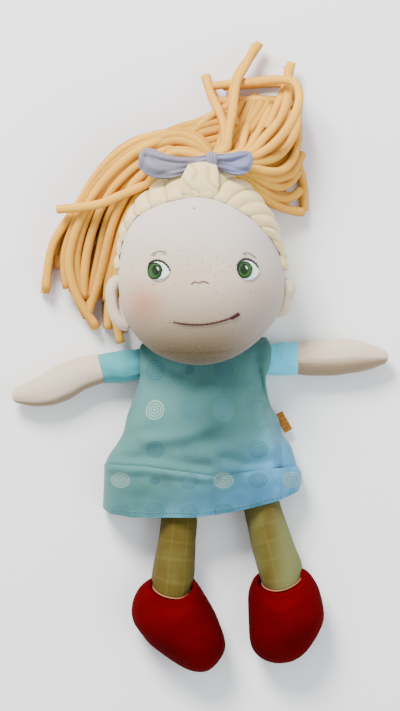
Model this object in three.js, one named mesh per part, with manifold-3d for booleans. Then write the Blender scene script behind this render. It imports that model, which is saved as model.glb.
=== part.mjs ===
// A soft cloth rag doll, lying on its back. Millimetres, +Z up, head towards +Y.
// Left and right are the doll's own: it looks up, so its right side is at -X.
import * as THREE from "three";
import { mergeVertices } from "three/addons/utils/BufferGeometryUtils.js";
import Module from "manifold-3d";

const wasm = await Module();
wasm.setup();

// Driving dimensions
const WALL = 0.8; // sewn cloth, one layer
const GAP = 0.4; // clearance between touching pieces
const AROUND = 12; // facets around a limb
const HEAD_AROUND = 28;
const HEAD_CENTRE = [-2, 86, 37.8];
const HEAD_DEPTH = 37.5; // half of the stuffed head, front to back
const STRAND_D = 5.4; // rolled jersey hair strand
const STRAND_FACETS = 8;
const TIE = [0, 146, 40]; // where the ponytail leaves the crown
const ARM_RADIUS = 9;
const ARM_PIVOT = { right: [-47, 27, 9.8], left: [46, 30, 9.8] };
const ARM_ANGLE = { right: 13, left: 3 }; // degrees that each arm points below or above level
const SLEEVE_LENGTH = 16; // shoulder pivot to elbow pivot
const HAND_LENGTH = 46;
const LEG_RADIUS = 10.5;
const HIP = { right: [-16.5, -44, 12.4], left: [31, -44, 12.4] };
const LEG_ANGLE = { right: 2.5, left: 12.5 }; // degrees that each leg points outwards
const LEG_LENGTH = 50; // hip pivot to ankle pivot
const FOOT_RISE = 4.9; // the shoe is thicker than the leg, and both lie on the same surface
const SHOE = {
  right: { length: 53, width: 26.5, toeTurn: 8 },
  left: { length: 51, width: 23, toeTurn: -4 },
};

const COLOURS = {
  skin: 0xded2c6, jersey: 0xefcf98, scalp: 0xe4d8be, bow: 0xa5a3b8, stuffing: 0xf4f2ec,
  iris: 0x4f9a52, thread: 0x8a1f24, brow: 0xa8766a, dress: 0x6fa3a8, sleeve: 0x69c2cc,
  leg: 0x98915a, shoe: 0x8f0d12, tag: 0xc9a23c, elastic: 0xd9c49a,
};

const cloth = (colour) =>
  new THREE.MeshStandardMaterial({ color: COLOURS[colour], roughness: 0.9, metalness: 0 });
const radians = THREE.MathUtils.degToRad;
const SIDES = ["right", "left"];
const outward = (side) => (side === "right" ? -1 : 1);

const doll = new THREE.Group();

function piece(name, geometry, colour, parent = doll) {
  const mesh = new THREE.Mesh(geometry, cloth(colour));
  mesh.name = name;
  parent.add(mesh);
  return mesh;
}

function signedVolume(points, faces) {
  let sum = 0;
  for (const [a, b, c] of faces) {
    sum += points[a].dot(new THREE.Vector3().crossVectors(points[b], points[c]));
  }
  return sum / 6;
}

// A closed mesh from points and triangles, turned to face out.
function solid(points, faces) {
  const flip = signedVolume(points, faces) < 0;
  const geometry = new THREE.BufferGeometry();
  geometry.setAttribute(
    "position",
    new THREE.Float32BufferAttribute(points.flatMap((p) => [p.x, p.y, p.z]), 3),
  );
  geometry.setIndex(faces.flatMap(([a, b, c]) => (flip ? [a, c, b] : [a, b, c])));
  return geometry;
}

// Joins rings of equal point counts. A loop closes on its first ring, otherwise both ends get a lid.
function skin(rings, loop = false) {
  const count = rings[0].length;
  const points = rings.flat();
  const faces = [];
  const last = loop ? rings.length : rings.length - 1;
  for (let r = 0; r < last; r++) {
    const here = r * count;
    const next = ((r + 1) % rings.length) * count;
    for (let i = 0; i < count; i++) {
      const j = (i + 1) % count;
      faces.push([here + i, here + j, next + j], [here + i, next + j, next + i]);
    }
  }
  if (!loop) {
    for (const [ring, start, turn] of [[rings[0], 0, 1], [rings.at(-1), points.length - count, 0]]) {
      const middle = new THREE.Vector3();
      ring.forEach((p) => middle.addScaledVector(p, 1 / count));
      const tip = points.push(middle) - 1;
      for (let i = 0; i < count; i++) {
        const j = (i + 1) % count;
        faces.push(turn ? [start + j, start + i, tip] : [start + i, start + j, tip]);
      }
    }
  }
  return solid(points, faces);
}

// A ring across local X at distance x, with half sizes in Y and Z.
function ringAlongX(x, y, z, halfY, halfZ) {
  const ring = [];
  for (let i = 0; i < AROUND; i++) {
    const turn = (2 * Math.PI * i) / AROUND;
    ring.push(new THREE.Vector3(x, y + halfY * Math.cos(turn), z + halfZ * Math.sin(turn)));
  }
  return ring;
}

// Smooth interpolation of [x, y, halfY, halfZ] stations by their x.
function stationAt(stations, x) {
  let n = 1;
  while (n < stations.length - 1 && stations[n][0] < x) n++;
  const [low, high] = [stations[n - 1], stations[n]];
  const t = THREE.MathUtils.clamp((x - low[0]) / (high[0] - low[0]), 0, 1);
  return low.map((value, k) => value + (high[k] - value) * t);
}

// Rings of a stuffed limb. inset shrinks it on all sides, for linings and stuffing.
function limbRings(stations, inset, steps, from = 0) {
  const start = stations[0][0] + inset;
  const end = stations.at(-1)[0] - inset;
  const rings = [];
  for (let n = from; n <= steps; n++) {
    const along = 0.5 - 0.5 * Math.cos((Math.PI * n) / steps);
    const x = start + (end - start) * along;
    const [, y, halfY, halfZ] = stationAt(stations, x);
    const least = 0.3;
    rings.push(ringAlongX(x, y, 0, Math.max(halfY - inset, least), Math.max(halfZ - inset, least)));
  }
  return rings;
}

// A sewn cover with an opening at its start, and the stuffing that fills it.
function cover(stations, steps, open = 1) {
  const outer = limbRings(stations, 0, steps, open).reverse();
  const inner = limbRings(stations, WALL, steps, open);
  return skin([...outer, ...inner]);
}

function filling(stations, steps) {
  return skin(limbRings(stations, WALL + 2 * GAP, steps));
}

// A dome at one end of a limb: stations from the pole to the full radius.
function dome(centre, radius, direction, depth) {
  const stations = [];
  for (const degrees of [84, 66, 45, 22, 0]) {
    const across = radius * Math.cos(radians(degrees));
    const along = centre + direction * radius * Math.sin(radians(degrees));
    stations.push([along, 0, across, (across * depth) / radius]);
  }
  return direction < 0 ? stations : stations.reverse();
}

function manifoldOf(geometry) {
  const bare = new THREE.BufferGeometry();
  bare.setAttribute("position", geometry.getAttribute("position"));
  bare.setIndex(geometry.getIndex());
  const merged = mergeVertices(bare, 1e-4);
  return new wasm.Manifold(
    new wasm.Mesh({
      numProp: 3,
      vertProperties: new Float32Array(merged.getAttribute("position").array),
      triVerts: new Uint32Array(merged.getIndex().array),
    }),
  );
}

function geometryOf(shape) {
  const { vertProperties, triVerts } = shape.getMesh();
  const geometry = new THREE.BufferGeometry();
  geometry.setAttribute("position", new THREE.Float32BufferAttribute(vertProperties, 3));
  geometry.setIndex(Array.from(triVerts));
  return geometry;
}

// ---- Head ----

const HEAD_OUTLINE = [
  [-4, 59], [-31, 44], [-45, 25], [-49.5, 1], [-49.5, -14], [-45, -33], [-32, -49], [-16, -57],
  [2, -59], [20, -54], [36, -42], [47.5, -25], [49.5, -8], [46.5, 10], [40, 30], [23, 49],
];
const headCurve = new THREE.CatmullRomCurve3(
  HEAD_OUTLINE.map(([x, y]) => new THREE.Vector3(x, y, 0)), true,
);

// One ring of the stuffed head: level runs from 0 at the seam to 90 at the pole.
function headRing(level, facing, grow) {
  const tilt = radians(level);
  const flare = Math.pow(Math.cos(tilt), 0.9);
  const height = facing * (HEAD_DEPTH + grow) * Math.sin(tilt);
  const ring = [];
  for (let i = 0; i < HEAD_AROUND; i++) {
    const point = headCurve.getPoint(i / HEAD_AROUND);
    const reach = ((point.length() + grow) / point.length()) * flare;
    ring.push(new THREE.Vector3(
      HEAD_CENTRE[0] + point.x * reach,
      HEAD_CENTRE[1] + point.y * reach,
      HEAD_CENTRE[2] + height,
    ));
  }
  return ring;
}

const HEAD_LEVELS = [0.5, 14, 28, 42, 56, 70, 84];
const LEVELS_DOWN = [...HEAD_LEVELS].reverse();

function headPanel(facing) {
  const outer = LEVELS_DOWN.map((level) => headRing(level, facing, 0));
  const inner = HEAD_LEVELS.map((level) => headRing(level, facing, -WALL));
  return skin([...outer, ...inner]);
}

function wholeHead(grow) {
  const back = LEVELS_DOWN.map((level) => headRing(level, -1, grow));
  const front = HEAD_LEVELS.map((level) => headRing(level, 1, grow));
  return skin([...back, ...front]);
}

// A layer that lies on the face: an outline, cut from the space just outside the head.
function onHead(outline, low, high) {
  const block = new THREE.ExtrudeGeometry(outline, {
    depth: 60, bevelEnabled: false, curveSegments: 6,
  });
  block.translate(HEAD_CENTRE[0], HEAD_CENTRE[1], HEAD_CENTRE[2] + 1);
  const layer = manifoldOf(wholeHead(high)).subtract(manifoldOf(wholeHead(low)));
  return geometryOf(layer.intersect(manifoldOf(block)));
}

function disc(x, y, radius) {
  return new THREE.Shape().absarc(x, y, radius, 0, 2 * Math.PI);
}

// A stitched line: a narrow band that follows a smooth curve.
function band(points, width, steps = 6) {
  const curve = new THREE.SplineCurve(points.map(([x, y]) => new THREE.Vector2(x, y)));
  const [over, under] = [[], []];
  for (let n = 0; n <= steps; n++) {
    const at = curve.getPoint(n / steps);
    const along = curve.getTangent(n / steps);
    const side = new THREE.Vector2(-along.y, along.x).multiplyScalar(width / 2);
    over.push(at.clone().add(side));
    under.unshift(at.clone().sub(side));
  }
  return new THREE.Shape([...over, ...under]);
}

function head() {
  piece("head_front_panel", headPanel(1), "skin");
  piece("head_back_panel", headPanel(-1), "skin");
  piece("head_stuffing", wholeHead(-WALL - GAP), "stuffing");
  const hairline = [
    [52, 10], [47, 13], [43, 21], [34, 33], [22, 39], [9, 42], [-5, 43], [-20, 40], [-32, 33],
    [-41, 25], [-46, 16], [-52, 12],
  ].map(([x, y]) => new THREE.Vector2(x, y));
  const scalp = new THREE.Shape();
  scalp.setFromPoints([...hairline, new THREE.Vector2(-56, 70), new THREE.Vector2(56, 70)]);
  piece("scalp_hair", onHead(scalp, GAP, 2.6), "scalp");
  for (const [side, x] of [["right", -27], ["left", 26.3]]) {
    piece(`${side}_eye`, onHead(disc(x, -4, 4.6), 0.3, 0.9), "iris");
  }
  piece("right_brow", onHead(band([[-30, 5], [-24, 8], [-20, 5.5]], 1), 0.3, 0.8), "brow");
  piece("left_brow", onHead(band([[22, 6.5], [29, 8], [33, 4]], 1), 0.3, 0.8), "brow");
  piece("nose_stitch", onHead(band([[-6.5, -11.5], [-1.5, -9.5], [4.5, -11]], 1), 0.3, 0.8), "brow");
  const smile = [[-16.5, -34.5], [-3, -35.5], [10, -33.5], [21.5, -28.5]];
  piece("mouth_stitch", onHead(band(smile, 1.3), 0.3, 0.8), "thread");
}

function ears() {
  const stations = (half) => [
    [-half, 0, 0.8, 0.6], [-half * 0.8, 0, 3, 2], [0, 0, 4.6, 3.2], [half * 0.8, 0, 3, 2], [half, 0, 0.8, 0.6],
  ];
  for (const [side, at, half, lean] of [
    ["right", [-58.6, 62, 37], 12, -97],
    ["left", [53, 69, 37], 10, -82],
  ]) {
    const ear = piece(`${side}_ear`, skin(limbRings(stations(half), 0, 6)), "skin");
    ear.position.set(...at);
    ear.rotation.z = radians(lean);
  }
}

// ---- Hair ----

// A rolled jersey strand: a round section swept along a smooth route.
function strand(route) {
  const path = new THREE.CatmullRomCurve3(route.map((p) => new THREE.Vector3(...p)));
  const section = new THREE.Shape();
  for (let i = 0; i < STRAND_FACETS; i++) {
    const turn = (2 * Math.PI * i) / STRAND_FACETS;
    const [x, y] = [(STRAND_D / 2) * Math.cos(turn), (STRAND_D / 2) * Math.sin(turn)];
    if (i === 0) section.moveTo(x, y);
    else section.lineTo(x, y);
  }
  const steps = Math.round(path.getLength() / (2.6 * STRAND_D));
  return new THREE.ExtrudeGeometry(section, { steps, extrudePath: path, curveSegments: 1 });
}

const STRAND_ROUTES = {
  right_strand_1: [[-71, 120, 12], [-84, 110, 6], [-90, 98, 3.2], [-95, 84, 3.2], [-97, 70, 3.2]],
  right_strand_2: [[-62, 104, 12], [-74, 92, 5], [-81, 78, 3.2], [-76, 66, 3.2], [-66, 49, 3.2]],
  right_strand_3: [[-54, 116, 22], [-59, 100, 16], [-65, 84, 10], [-69, 70, 9], [-71, 57, 9]],
  right_strand_4: [[-60, 112, 12], [-53, 98, 7], [-52, 84, 6], [-53, 66, 5], [-51, 46, 3.2]],
  right_strand_5: [[-50, 128, 38.5], [-62, 123, 37], [-74, 121, 33.5], [-88, 120, 26]],
  left_strand_1: [[18, 170, 27], [16, 184, 20], [19, 200, 13], [27, 212, 10], [33, 221, 9]],
  left_strand_2: [[15, 163, 26], [7, 184, 11], [2, 196, 4], [0, 202, 3.2]],
  left_strand_3: [[37, 168, 26], [44, 184, 18], [49, 196, 12], [52, 209, 9]],
  left_strand_4: [[40, 168, 14], [54, 181, 3.2], [54, 192, 3.2], [44, 197, 3.2], [24, 196, 3.2], [11, 195, 6]],
  left_strand_5: [[42, 166, 14], [53, 154, 8], [59, 138, 3.2], [60, 120, 3.2]],
};

// A flat plain bunch: stations along a curve, each with a half width and a half height.
function bunch([centres, halves], grow = 0) {
  const path = new THREE.CatmullRomCurve3(centres.map((p) => new THREE.Vector3(...p)));
  const rings = [];
  const steps = 3 * (centres.length - 1);
  for (let n = 0; n <= steps; n++) {
    const share = n / steps;
    const at = path.getPoint(share);
    const along = path.getTangent(share);
    const side = new THREE.Vector3(-along.y, along.x, 0).normalize();
    const place = share * (halves.length - 1);
    const low = Math.min(Math.floor(place), halves.length - 2);
    const [half, high] = [0, 1].map((k) =>
      THREE.MathUtils.lerp(halves[low][k], halves[low + 1][k], place - low));
    const ring = [];
    for (let i = 0; i < AROUND; i++) {
      const turn = (2 * Math.PI * i) / AROUND;
      ring.push(at.clone()
        .addScaledVector(side, (half + grow) * Math.cos(turn))
        .add(new THREE.Vector3(0, 0, (high + grow) * Math.sin(turn))));
    }
    rings.push(ring);
  }
  return skin(rings);
}

const BUNCHES = {
  right: [
    [[-10, 150.6, 36.2], [-26, 153, 28], [-50, 140, 19], [-68, 118, 17], [-74, 99, 16]],
    [[5, 4.5], [13, 11], [20, 15], [19, 14], [14, 12]],
  ],
  left: [
    [[10, 151, 34], [22, 160, 28], [34, 166, 21], [40, 160, 18], [46, 140, 14]],
    [[6, 7], [14, 12], [20, 15], [19, 14], [11, 10]],
  ],
};

function hair() {
  for (const side of SIDES) {
    piece(`${side}_ponytail`, bunch(BUNCHES[side]), "jersey");
    const taken = manifoldOf(bunch(BUNCHES[side], GAP));
    for (const [name, route] of Object.entries(STRAND_ROUTES)) {
      if (!name.startsWith(side)) continue;
      piece(name, geometryOf(manifoldOf(strand(route)).subtract(taken)), "jersey");
    }
  }
  const tie = piece("hair_elastic", new THREE.TorusGeometry(5, 1.6, 8, 16), "elastic");
  tie.position.set(0, TIE[1] + 4, TIE[2] + 9);
  tie.rotation.x = radians(55);
}

function bow() {
  const loop = (length) => [
    [0, 0, 5, 3.4], [length * 0.3, 1, 7.5, 5], [length * 0.65, 1, 9, 5.4],
    [length * 0.92, 0, 8.4, 4.6], [length, 0, 7, 1.2],
  ];
  for (const [side, at, length, lean] of [
    ["right", [-3, 148, 60], 32, 178],
    ["left", [7, 149, 60], 20, 4],
  ]) {
    const ribbon = piece(`${side}_bow_loop`, cover(loop(length), 6, 0), "bow");
    ribbon.position.set(...at);
    ribbon.rotation.z = radians(lean);
  }
  const knot = piece("bow_knot", new THREE.SphereGeometry(1, 12, 8), "bow");
  knot.scale.set(4.2, 7, 6);
  knot.position.set(2, 148.5, 60);
}

// ---- Torso and neck ----

const TORSO = [
  [-42, 0, 24, 3.2], [-39, 0, 31, 4.2], [-30, 0, 34, 7.2], [-10, 0, 34, 13.5],
  [8, 0, 35, 18], [22, 0, 34, 18.5], [29, 0, 30, 15], [32, 0, 20, 8],
]; // [-y, x, half width, half height]

const NECK_START = 43.2;
const TORSO_BASE = WALL + GAP; // the body lies on the back of the dress

function torso() {
  const lying = (geometry) => {
    geometry.rotateZ(-Math.PI / 2);
    const places = geometry.getAttribute("position");
    for (let n = 0; n < places.count; n++) {
      const stations = stationAt(TORSO, -places.getY(n));
      places.setZ(n, places.getZ(n) + stations[3] + TORSO_BASE);
    }
    return geometry;
  };
  piece("torso_cover", lying(cover(TORSO, 9)), "sleeve");
  piece("torso_stuffing", lying(filling(TORSO, 9)), "stuffing");
  const neck = skin(limbRings([[0, 0, 10, 4.8], [9, 0, 10, 4.8]], 0, 3));
  neck.rotateZ(Math.PI / 2);
  neck.translate(0, NECK_START, 7.6);
  const cut = manifoldOf(neck).subtract(manifoldOf(wholeHead(0.5)));
  piece("neck_tube", geometryOf(cut), "skin");
}

// ---- Dress ----

// A cloth panel of one thickness from a grid of points.
function panel(grid) {
  const [rows, columns] = [grid.length, grid[0].length];
  const clampTo = (value, top) => Math.min(Math.max(value, 0), top);
  const at = (r, c) => grid[clampTo(r, rows - 1)][clampTo(c, columns - 1)];
  const under = grid.map((row, r) => row.map((point, c) => {
    const across = at(r, c + 1).clone().sub(at(r, c - 1));
    const along = at(r + 1, c).clone().sub(at(r - 1, c));
    return point.clone().addScaledVector(across.cross(along).normalize(), WALL);
  }));
  const points = [...grid.flat(), ...under.flat()];
  const size = rows * columns;
  const faces = [];
  const quad = (a, b, c, d) => faces.push([a, b, c], [a, c, d]);
  for (let r = 0; r < rows - 1; r++) {
    for (let c = 0; c < columns - 1; c++) {
      const [a, b] = [r * columns + c, (r + 1) * columns + c];
      quad(a, a + 1, b + 1, b);
      quad(size + a, size + b, size + b + 1, size + a + 1);
    }
    const [start, end] = [r * columns, (r + 1) * columns - 1];
    quad(start, start + columns, size + start + columns, size + start);
    quad(end, size + end, size + end + columns, end + columns);
  }
  for (let c = 0; c < columns - 1; c++) {
    const bottom = (rows - 1) * columns + c;
    quad(c, size + c, size + c + 1, c + 1);
    quad(bottom, bottom + 1, size + bottom + 1, size + bottom);
  }
  return solid(points, faces);
}

// [y, right edge, left edge, seam height, top of the front]
const DRESS = [
  [41, -34, 35, 8.5, 10.8], [33, -36, 37, 12.5, 17], [21, -37, 37, 13.5, 24.5], [6, -42, 41, 12, 35.5],
  [-8, -48, 45, 9, 42.5], [-22, -56, 50, 7, 43], [-31.4, -59, 54, 6, 40],
];
const SKIRT = [
  [-31.9, -59, 54, 6, 39.6], [-37, -60, 56, 5.5, 36.6], [-43, -60, 57, 5, 34], [-50, -59, 57, 4.5, 31.5],
  [-55, -58, 56, 4.2, 30], [-62, -56, 55, 4, 29],
];
const SKIRT_SPLIT = 7; // where the skirt's halves meet, between the legs

const ARCH_POWER = 0.6; // below 1, the front lies flatter in the middle and falls off at the sides

function archGrid(rows, steps, from, to) {
  return rows.map(([y, right, left, seam, top]) => {
    const row = [];
    const [middle, half] = [(right + left) / 2, (left - right) / 2];
    for (let n = 0; n <= steps; n++) {
      const turn = from(middle, half) + ((to(middle, half) - from(middle, half)) * n) / steps;
      const rise = Math.pow(Math.max(Math.sin(turn), 0), ARCH_POWER);
      row.push(new THREE.Vector3(middle - half * Math.cos(turn), y, seam + (top - seam) * rise));
    }
    return row;
  });
}

function dress() {
  piece("dress_front", panel(archGrid(DRESS, 14, () => 0, () => Math.PI)), "dress");
  const split = (shift) => (middle, half) => Math.acos((middle - SKIRT_SPLIT + shift) / half);
  piece("right_skirt_front", panel(archGrid(SKIRT, 8, () => 0, split(GAP))), "dress");
  piece("left_skirt_front", panel(archGrid(SKIRT, 8, split(-GAP), () => Math.PI)), "dress");
  const back = [...DRESS, ...SKIRT.slice(1)].map(([y, right, left]) => {
    const row = [];
    const steps = 10;
    for (let n = 0; n <= steps; n++) {
      row.push(new THREE.Vector3(right + ((left - right) * n) / steps, y, 0));
    }
    return row.reverse();
  });
  piece("dress_back", panel(back), "dress");
  const tag = new THREE.BoxGeometry(5, 12, 1);
  const label = piece("side_tag", tag, "tag");
  label.position.set(47.5, -7.5, 6);
  label.rotation.z = radians(28.8);
}

// ---- Arms ----

const SLEEVE = [
  ...dome(0, ARM_RADIUS, -1, ARM_RADIUS),
  [SLEEVE_LENGTH * 0.5, 0, 9.4, 9.2],
  ...dome(SLEEVE_LENGTH, ARM_RADIUS, 1, ARM_RADIUS),
];
const HAND_START = SLEEVE_LENGTH + ARM_RADIUS + GAP;
const HAND = [
  [HAND_START, 0, 7.5, 7.5], [HAND_START + 4, 0, 9.6, 9], [HAND_START + 18, 0, 10.4, 9.6],
  [HAND_START + 30, 0, 9.4, 9], [HAND_START + 40, -1, 6.4, 7], [HAND_START + HAND_LENGTH, -2, 1, 1],
];

function ball(radius) {
  const sphere = new THREE.SphereGeometry(radius, 10, 6);
  sphere.deleteAttribute("normal");
  sphere.deleteAttribute("uv");
  return mergeVertices(sphere, 1e-4);
}

function arm(side) {
  const group = new THREE.Group();
  group.position.set(...ARM_PIVOT[side]);
  const turn = side === "right" ? 180 + ARM_ANGLE.right : ARM_ANGLE.left;
  group.rotation.z = radians(turn);
  doll.add(group);
  const wad = ARM_RADIUS - WALL - 1;
  piece(`${side}_shoulder_stuffing`, ball(wad), "stuffing", group);
  const fill = [
    [wad + 1.4, 0, 6, 6], [SLEEVE_LENGTH, 0, 6.8, 6.8], [SLEEVE_LENGTH + 6.5, 0, 3, 3],
  ];
  piece(`${side}_sleeve`, cover(SLEEVE, 9), "sleeve", group);
  piece(`${side}_sleeve_stuffing`, skin(limbRings(fill, 0, 3)), "stuffing", group);
  piece(`${side}_hand`, cover(HAND, 7, 0), "skin", group);
  piece(`${side}_hand_stuffing`, filling(HAND, 7), "stuffing", group);
}

// ---- Legs ----

function shoeStations({ length, width }) {
  return [
    [0, 0, 12.5, 11], [length * 0.16, 0, width * 0.74, 14], [length * 0.34, 0, width * 0.94, 16.4],
    [length * 0.56, 0, width, 17], [length * 0.76, 0, width * 0.86, 14.6],
    [length * 0.92, 0, width * 0.52, 9.4], [length, 0, width * 0.2, 3],
  ];
}

function leg(side) {
  const group = new THREE.Group();
  group.position.set(...HIP[side]);
  group.rotation.z = radians(-90 + outward(side) * LEG_ANGLE[side]);
  doll.add(group);
  const wad = LEG_RADIUS - WALL - 1;
  piece(`${side}_hip_stuffing`, ball(wad), "stuffing", group);
  const shape = [
    ...dome(0, LEG_RADIUS, -1, LEG_RADIUS),
    [LEG_LENGTH * 0.5, 0, 11, 10.6],
    ...dome(LEG_LENGTH, LEG_RADIUS + 0.5, 1, LEG_RADIUS),
  ];
  const fill = [
    [wad + 1.4, 0, 7, 7], [LEG_LENGTH * 0.5, 0, 9, 9], [LEG_LENGTH, 0, 8.6, 8.6],
    [LEG_LENGTH + 7, 0, 4, 4],
  ];
  piece(`${side}_leg`, cover(shape, 10), "leg", group);
  piece(`${side}_leg_stuffing`, skin(limbRings(fill, 0, 5)), "stuffing", group);
  const foot = new THREE.Group();
  foot.position.set(LEG_LENGTH, 0, FOOT_RISE);
  foot.rotation.z = radians(SHOE[side].toeTurn);
  group.add(foot);
  const offset = LEG_RADIUS + 0.5 + GAP;
  const stations = shoeStations(SHOE[side]).map(([x, ...rest]) => [x + offset, ...rest]);
  piece(`${side}_shoe`, cover(stations, 9, 0), "shoe", foot);
  piece(`${side}_shoe_stuffing`, filling(stations, 9), "stuffing", foot);
}

head();
ears();
hair();
bow();
torso();
dress();
for (const side of SIDES) {
  arm(side);
  leg(side);
}

export default doll;
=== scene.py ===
"""A soft cloth rag doll on its back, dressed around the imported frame. Lengths below are in millimetres."""
import math
import random

import bpy
import numpy as np
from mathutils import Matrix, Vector, noise


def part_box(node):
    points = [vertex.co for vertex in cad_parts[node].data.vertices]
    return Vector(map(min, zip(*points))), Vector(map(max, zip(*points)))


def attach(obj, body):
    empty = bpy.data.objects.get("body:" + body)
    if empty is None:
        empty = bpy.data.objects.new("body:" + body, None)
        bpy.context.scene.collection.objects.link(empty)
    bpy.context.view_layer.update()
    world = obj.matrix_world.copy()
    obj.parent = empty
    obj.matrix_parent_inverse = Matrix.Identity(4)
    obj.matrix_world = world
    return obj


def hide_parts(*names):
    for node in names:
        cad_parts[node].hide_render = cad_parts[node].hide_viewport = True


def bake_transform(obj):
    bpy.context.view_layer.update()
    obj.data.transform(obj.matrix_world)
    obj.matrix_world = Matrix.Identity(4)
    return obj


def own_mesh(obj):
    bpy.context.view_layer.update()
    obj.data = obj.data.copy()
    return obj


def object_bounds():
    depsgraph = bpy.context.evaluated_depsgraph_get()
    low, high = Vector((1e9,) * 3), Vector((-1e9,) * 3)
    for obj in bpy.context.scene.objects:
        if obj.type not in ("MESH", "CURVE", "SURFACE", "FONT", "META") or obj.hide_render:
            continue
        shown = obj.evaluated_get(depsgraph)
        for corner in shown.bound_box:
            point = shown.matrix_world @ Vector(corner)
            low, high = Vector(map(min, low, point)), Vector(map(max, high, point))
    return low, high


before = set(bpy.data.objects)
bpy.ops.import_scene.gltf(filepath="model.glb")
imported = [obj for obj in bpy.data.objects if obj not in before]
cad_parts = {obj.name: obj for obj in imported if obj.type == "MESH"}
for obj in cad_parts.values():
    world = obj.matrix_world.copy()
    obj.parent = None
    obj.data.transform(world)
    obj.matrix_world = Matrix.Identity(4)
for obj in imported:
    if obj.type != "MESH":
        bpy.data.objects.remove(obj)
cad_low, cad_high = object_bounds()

MM = 0.001
SIDES = ("right", "left")
rng = random.Random(7)


# ---- Camera, floor and light ----

FRAME_HEIGHT = 0.4266  # what the picture shows from top to bottom at the doll
CAMERA_HEIGHT = 2.2
SENSOR = 36.0


def make_camera():
    data = bpy.data.cameras.new("camera")
    data.sensor_width = SENSOR
    data.lens = SENSOR * (CAMERA_HEIGHT - 0.02) / FRAME_HEIGHT
    camera = bpy.data.objects.new("camera", data)
    middle = (cad_low + cad_high) / 2
    camera.location = (middle.x - 0.0032, middle.y + 0.0006, CAMERA_HEIGHT)
    bpy.context.scene.collection.objects.link(camera)
    bpy.context.scene.camera = camera


def area_light(name, place, size, power, colour):
    data = bpy.data.lights.new(name, "AREA")
    data.size = size
    data.energy = power
    data.color = colour
    lamp = bpy.data.objects.new(name, data)
    lamp.location = place
    aim = Vector((0, 0.02, 0.03)) - Vector(place)
    lamp.rotation_euler = aim.to_track_quat("-Z", "Y").to_euler()
    bpy.context.scene.collection.objects.link(lamp)


def make_stage():
    half = 3.0
    mesh = bpy.data.meshes.new("floor")
    mesh.from_pydata([(-half, -half, 0), (half, -half, 0), (half, half, 0), (-half, half, 0)], [],
                     [(0, 1, 2, 3)])
    floor = bpy.data.objects.new("floor", mesh)
    bpy.context.scene.collection.objects.link(floor)
    material = bpy.data.materials.new("floor")
    material.use_nodes = True
    shader = material.node_tree.nodes["Principled BSDF"]
    shader.inputs["Base Color"].default_value = (0.9, 0.9, 0.9, 1)
    shader.inputs["Roughness"].default_value = 0.9
    mesh.materials.append(material)
    world = bpy.data.worlds.new("world")
    world.use_nodes = True
    world.node_tree.nodes["Background"].inputs["Color"].default_value = (0.95, 0.97, 1.0, 1)
    world.node_tree.nodes["Background"].inputs["Strength"].default_value = 0.95
    bpy.context.scene.world = world
    area_light("key", (-0.5, 1.15, 1.05), 0.6, 62, (1.0, 0.98, 0.95))
    area_light("fill", (0.9, -0.3, 1.2), 0.9, 12, (0.82, 0.92, 1.0))


# ---- Curves and meshes ----

def smooth(points, count, closed=False):
    """count points on a smooth curve through the given ones, evenly spaced along it."""
    given = np.array(points, float)
    n = len(given)
    if closed:
        padded = np.vstack([given[-1:], given, given[:2]])
        pieces = n
    else:
        padded = np.vstack([2 * given[0] - given[1], given, 2 * given[-1] - given[-2]])
        pieces = n - 1
    dense = []
    for k in range(pieces):
        a, b, c, d = padded[k:k + 4]
        t = np.linspace(0, 1, 24, endpoint=False)[:, None]
        dense.append(0.5 * (2 * b + (c - a) * t + (2 * a - 5 * b + 4 * c - d) * t**2
                            + (3 * b - a - 3 * c + d) * t**3))
    dense = np.vstack(dense + [padded[pieces + 1][None]])
    run = np.concatenate([[0], np.cumsum(np.linalg.norm(np.diff(dense, axis=0), axis=1))])
    wanted = np.linspace(0, run[-1], count, endpoint=not closed)
    return np.stack([np.interp(wanted, run, dense[:, k]) for k in range(dense.shape[1])], axis=1)


def eased(t):
    t = np.clip(t, 0, 1)
    return t * t * (3 - 2 * t)


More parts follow.
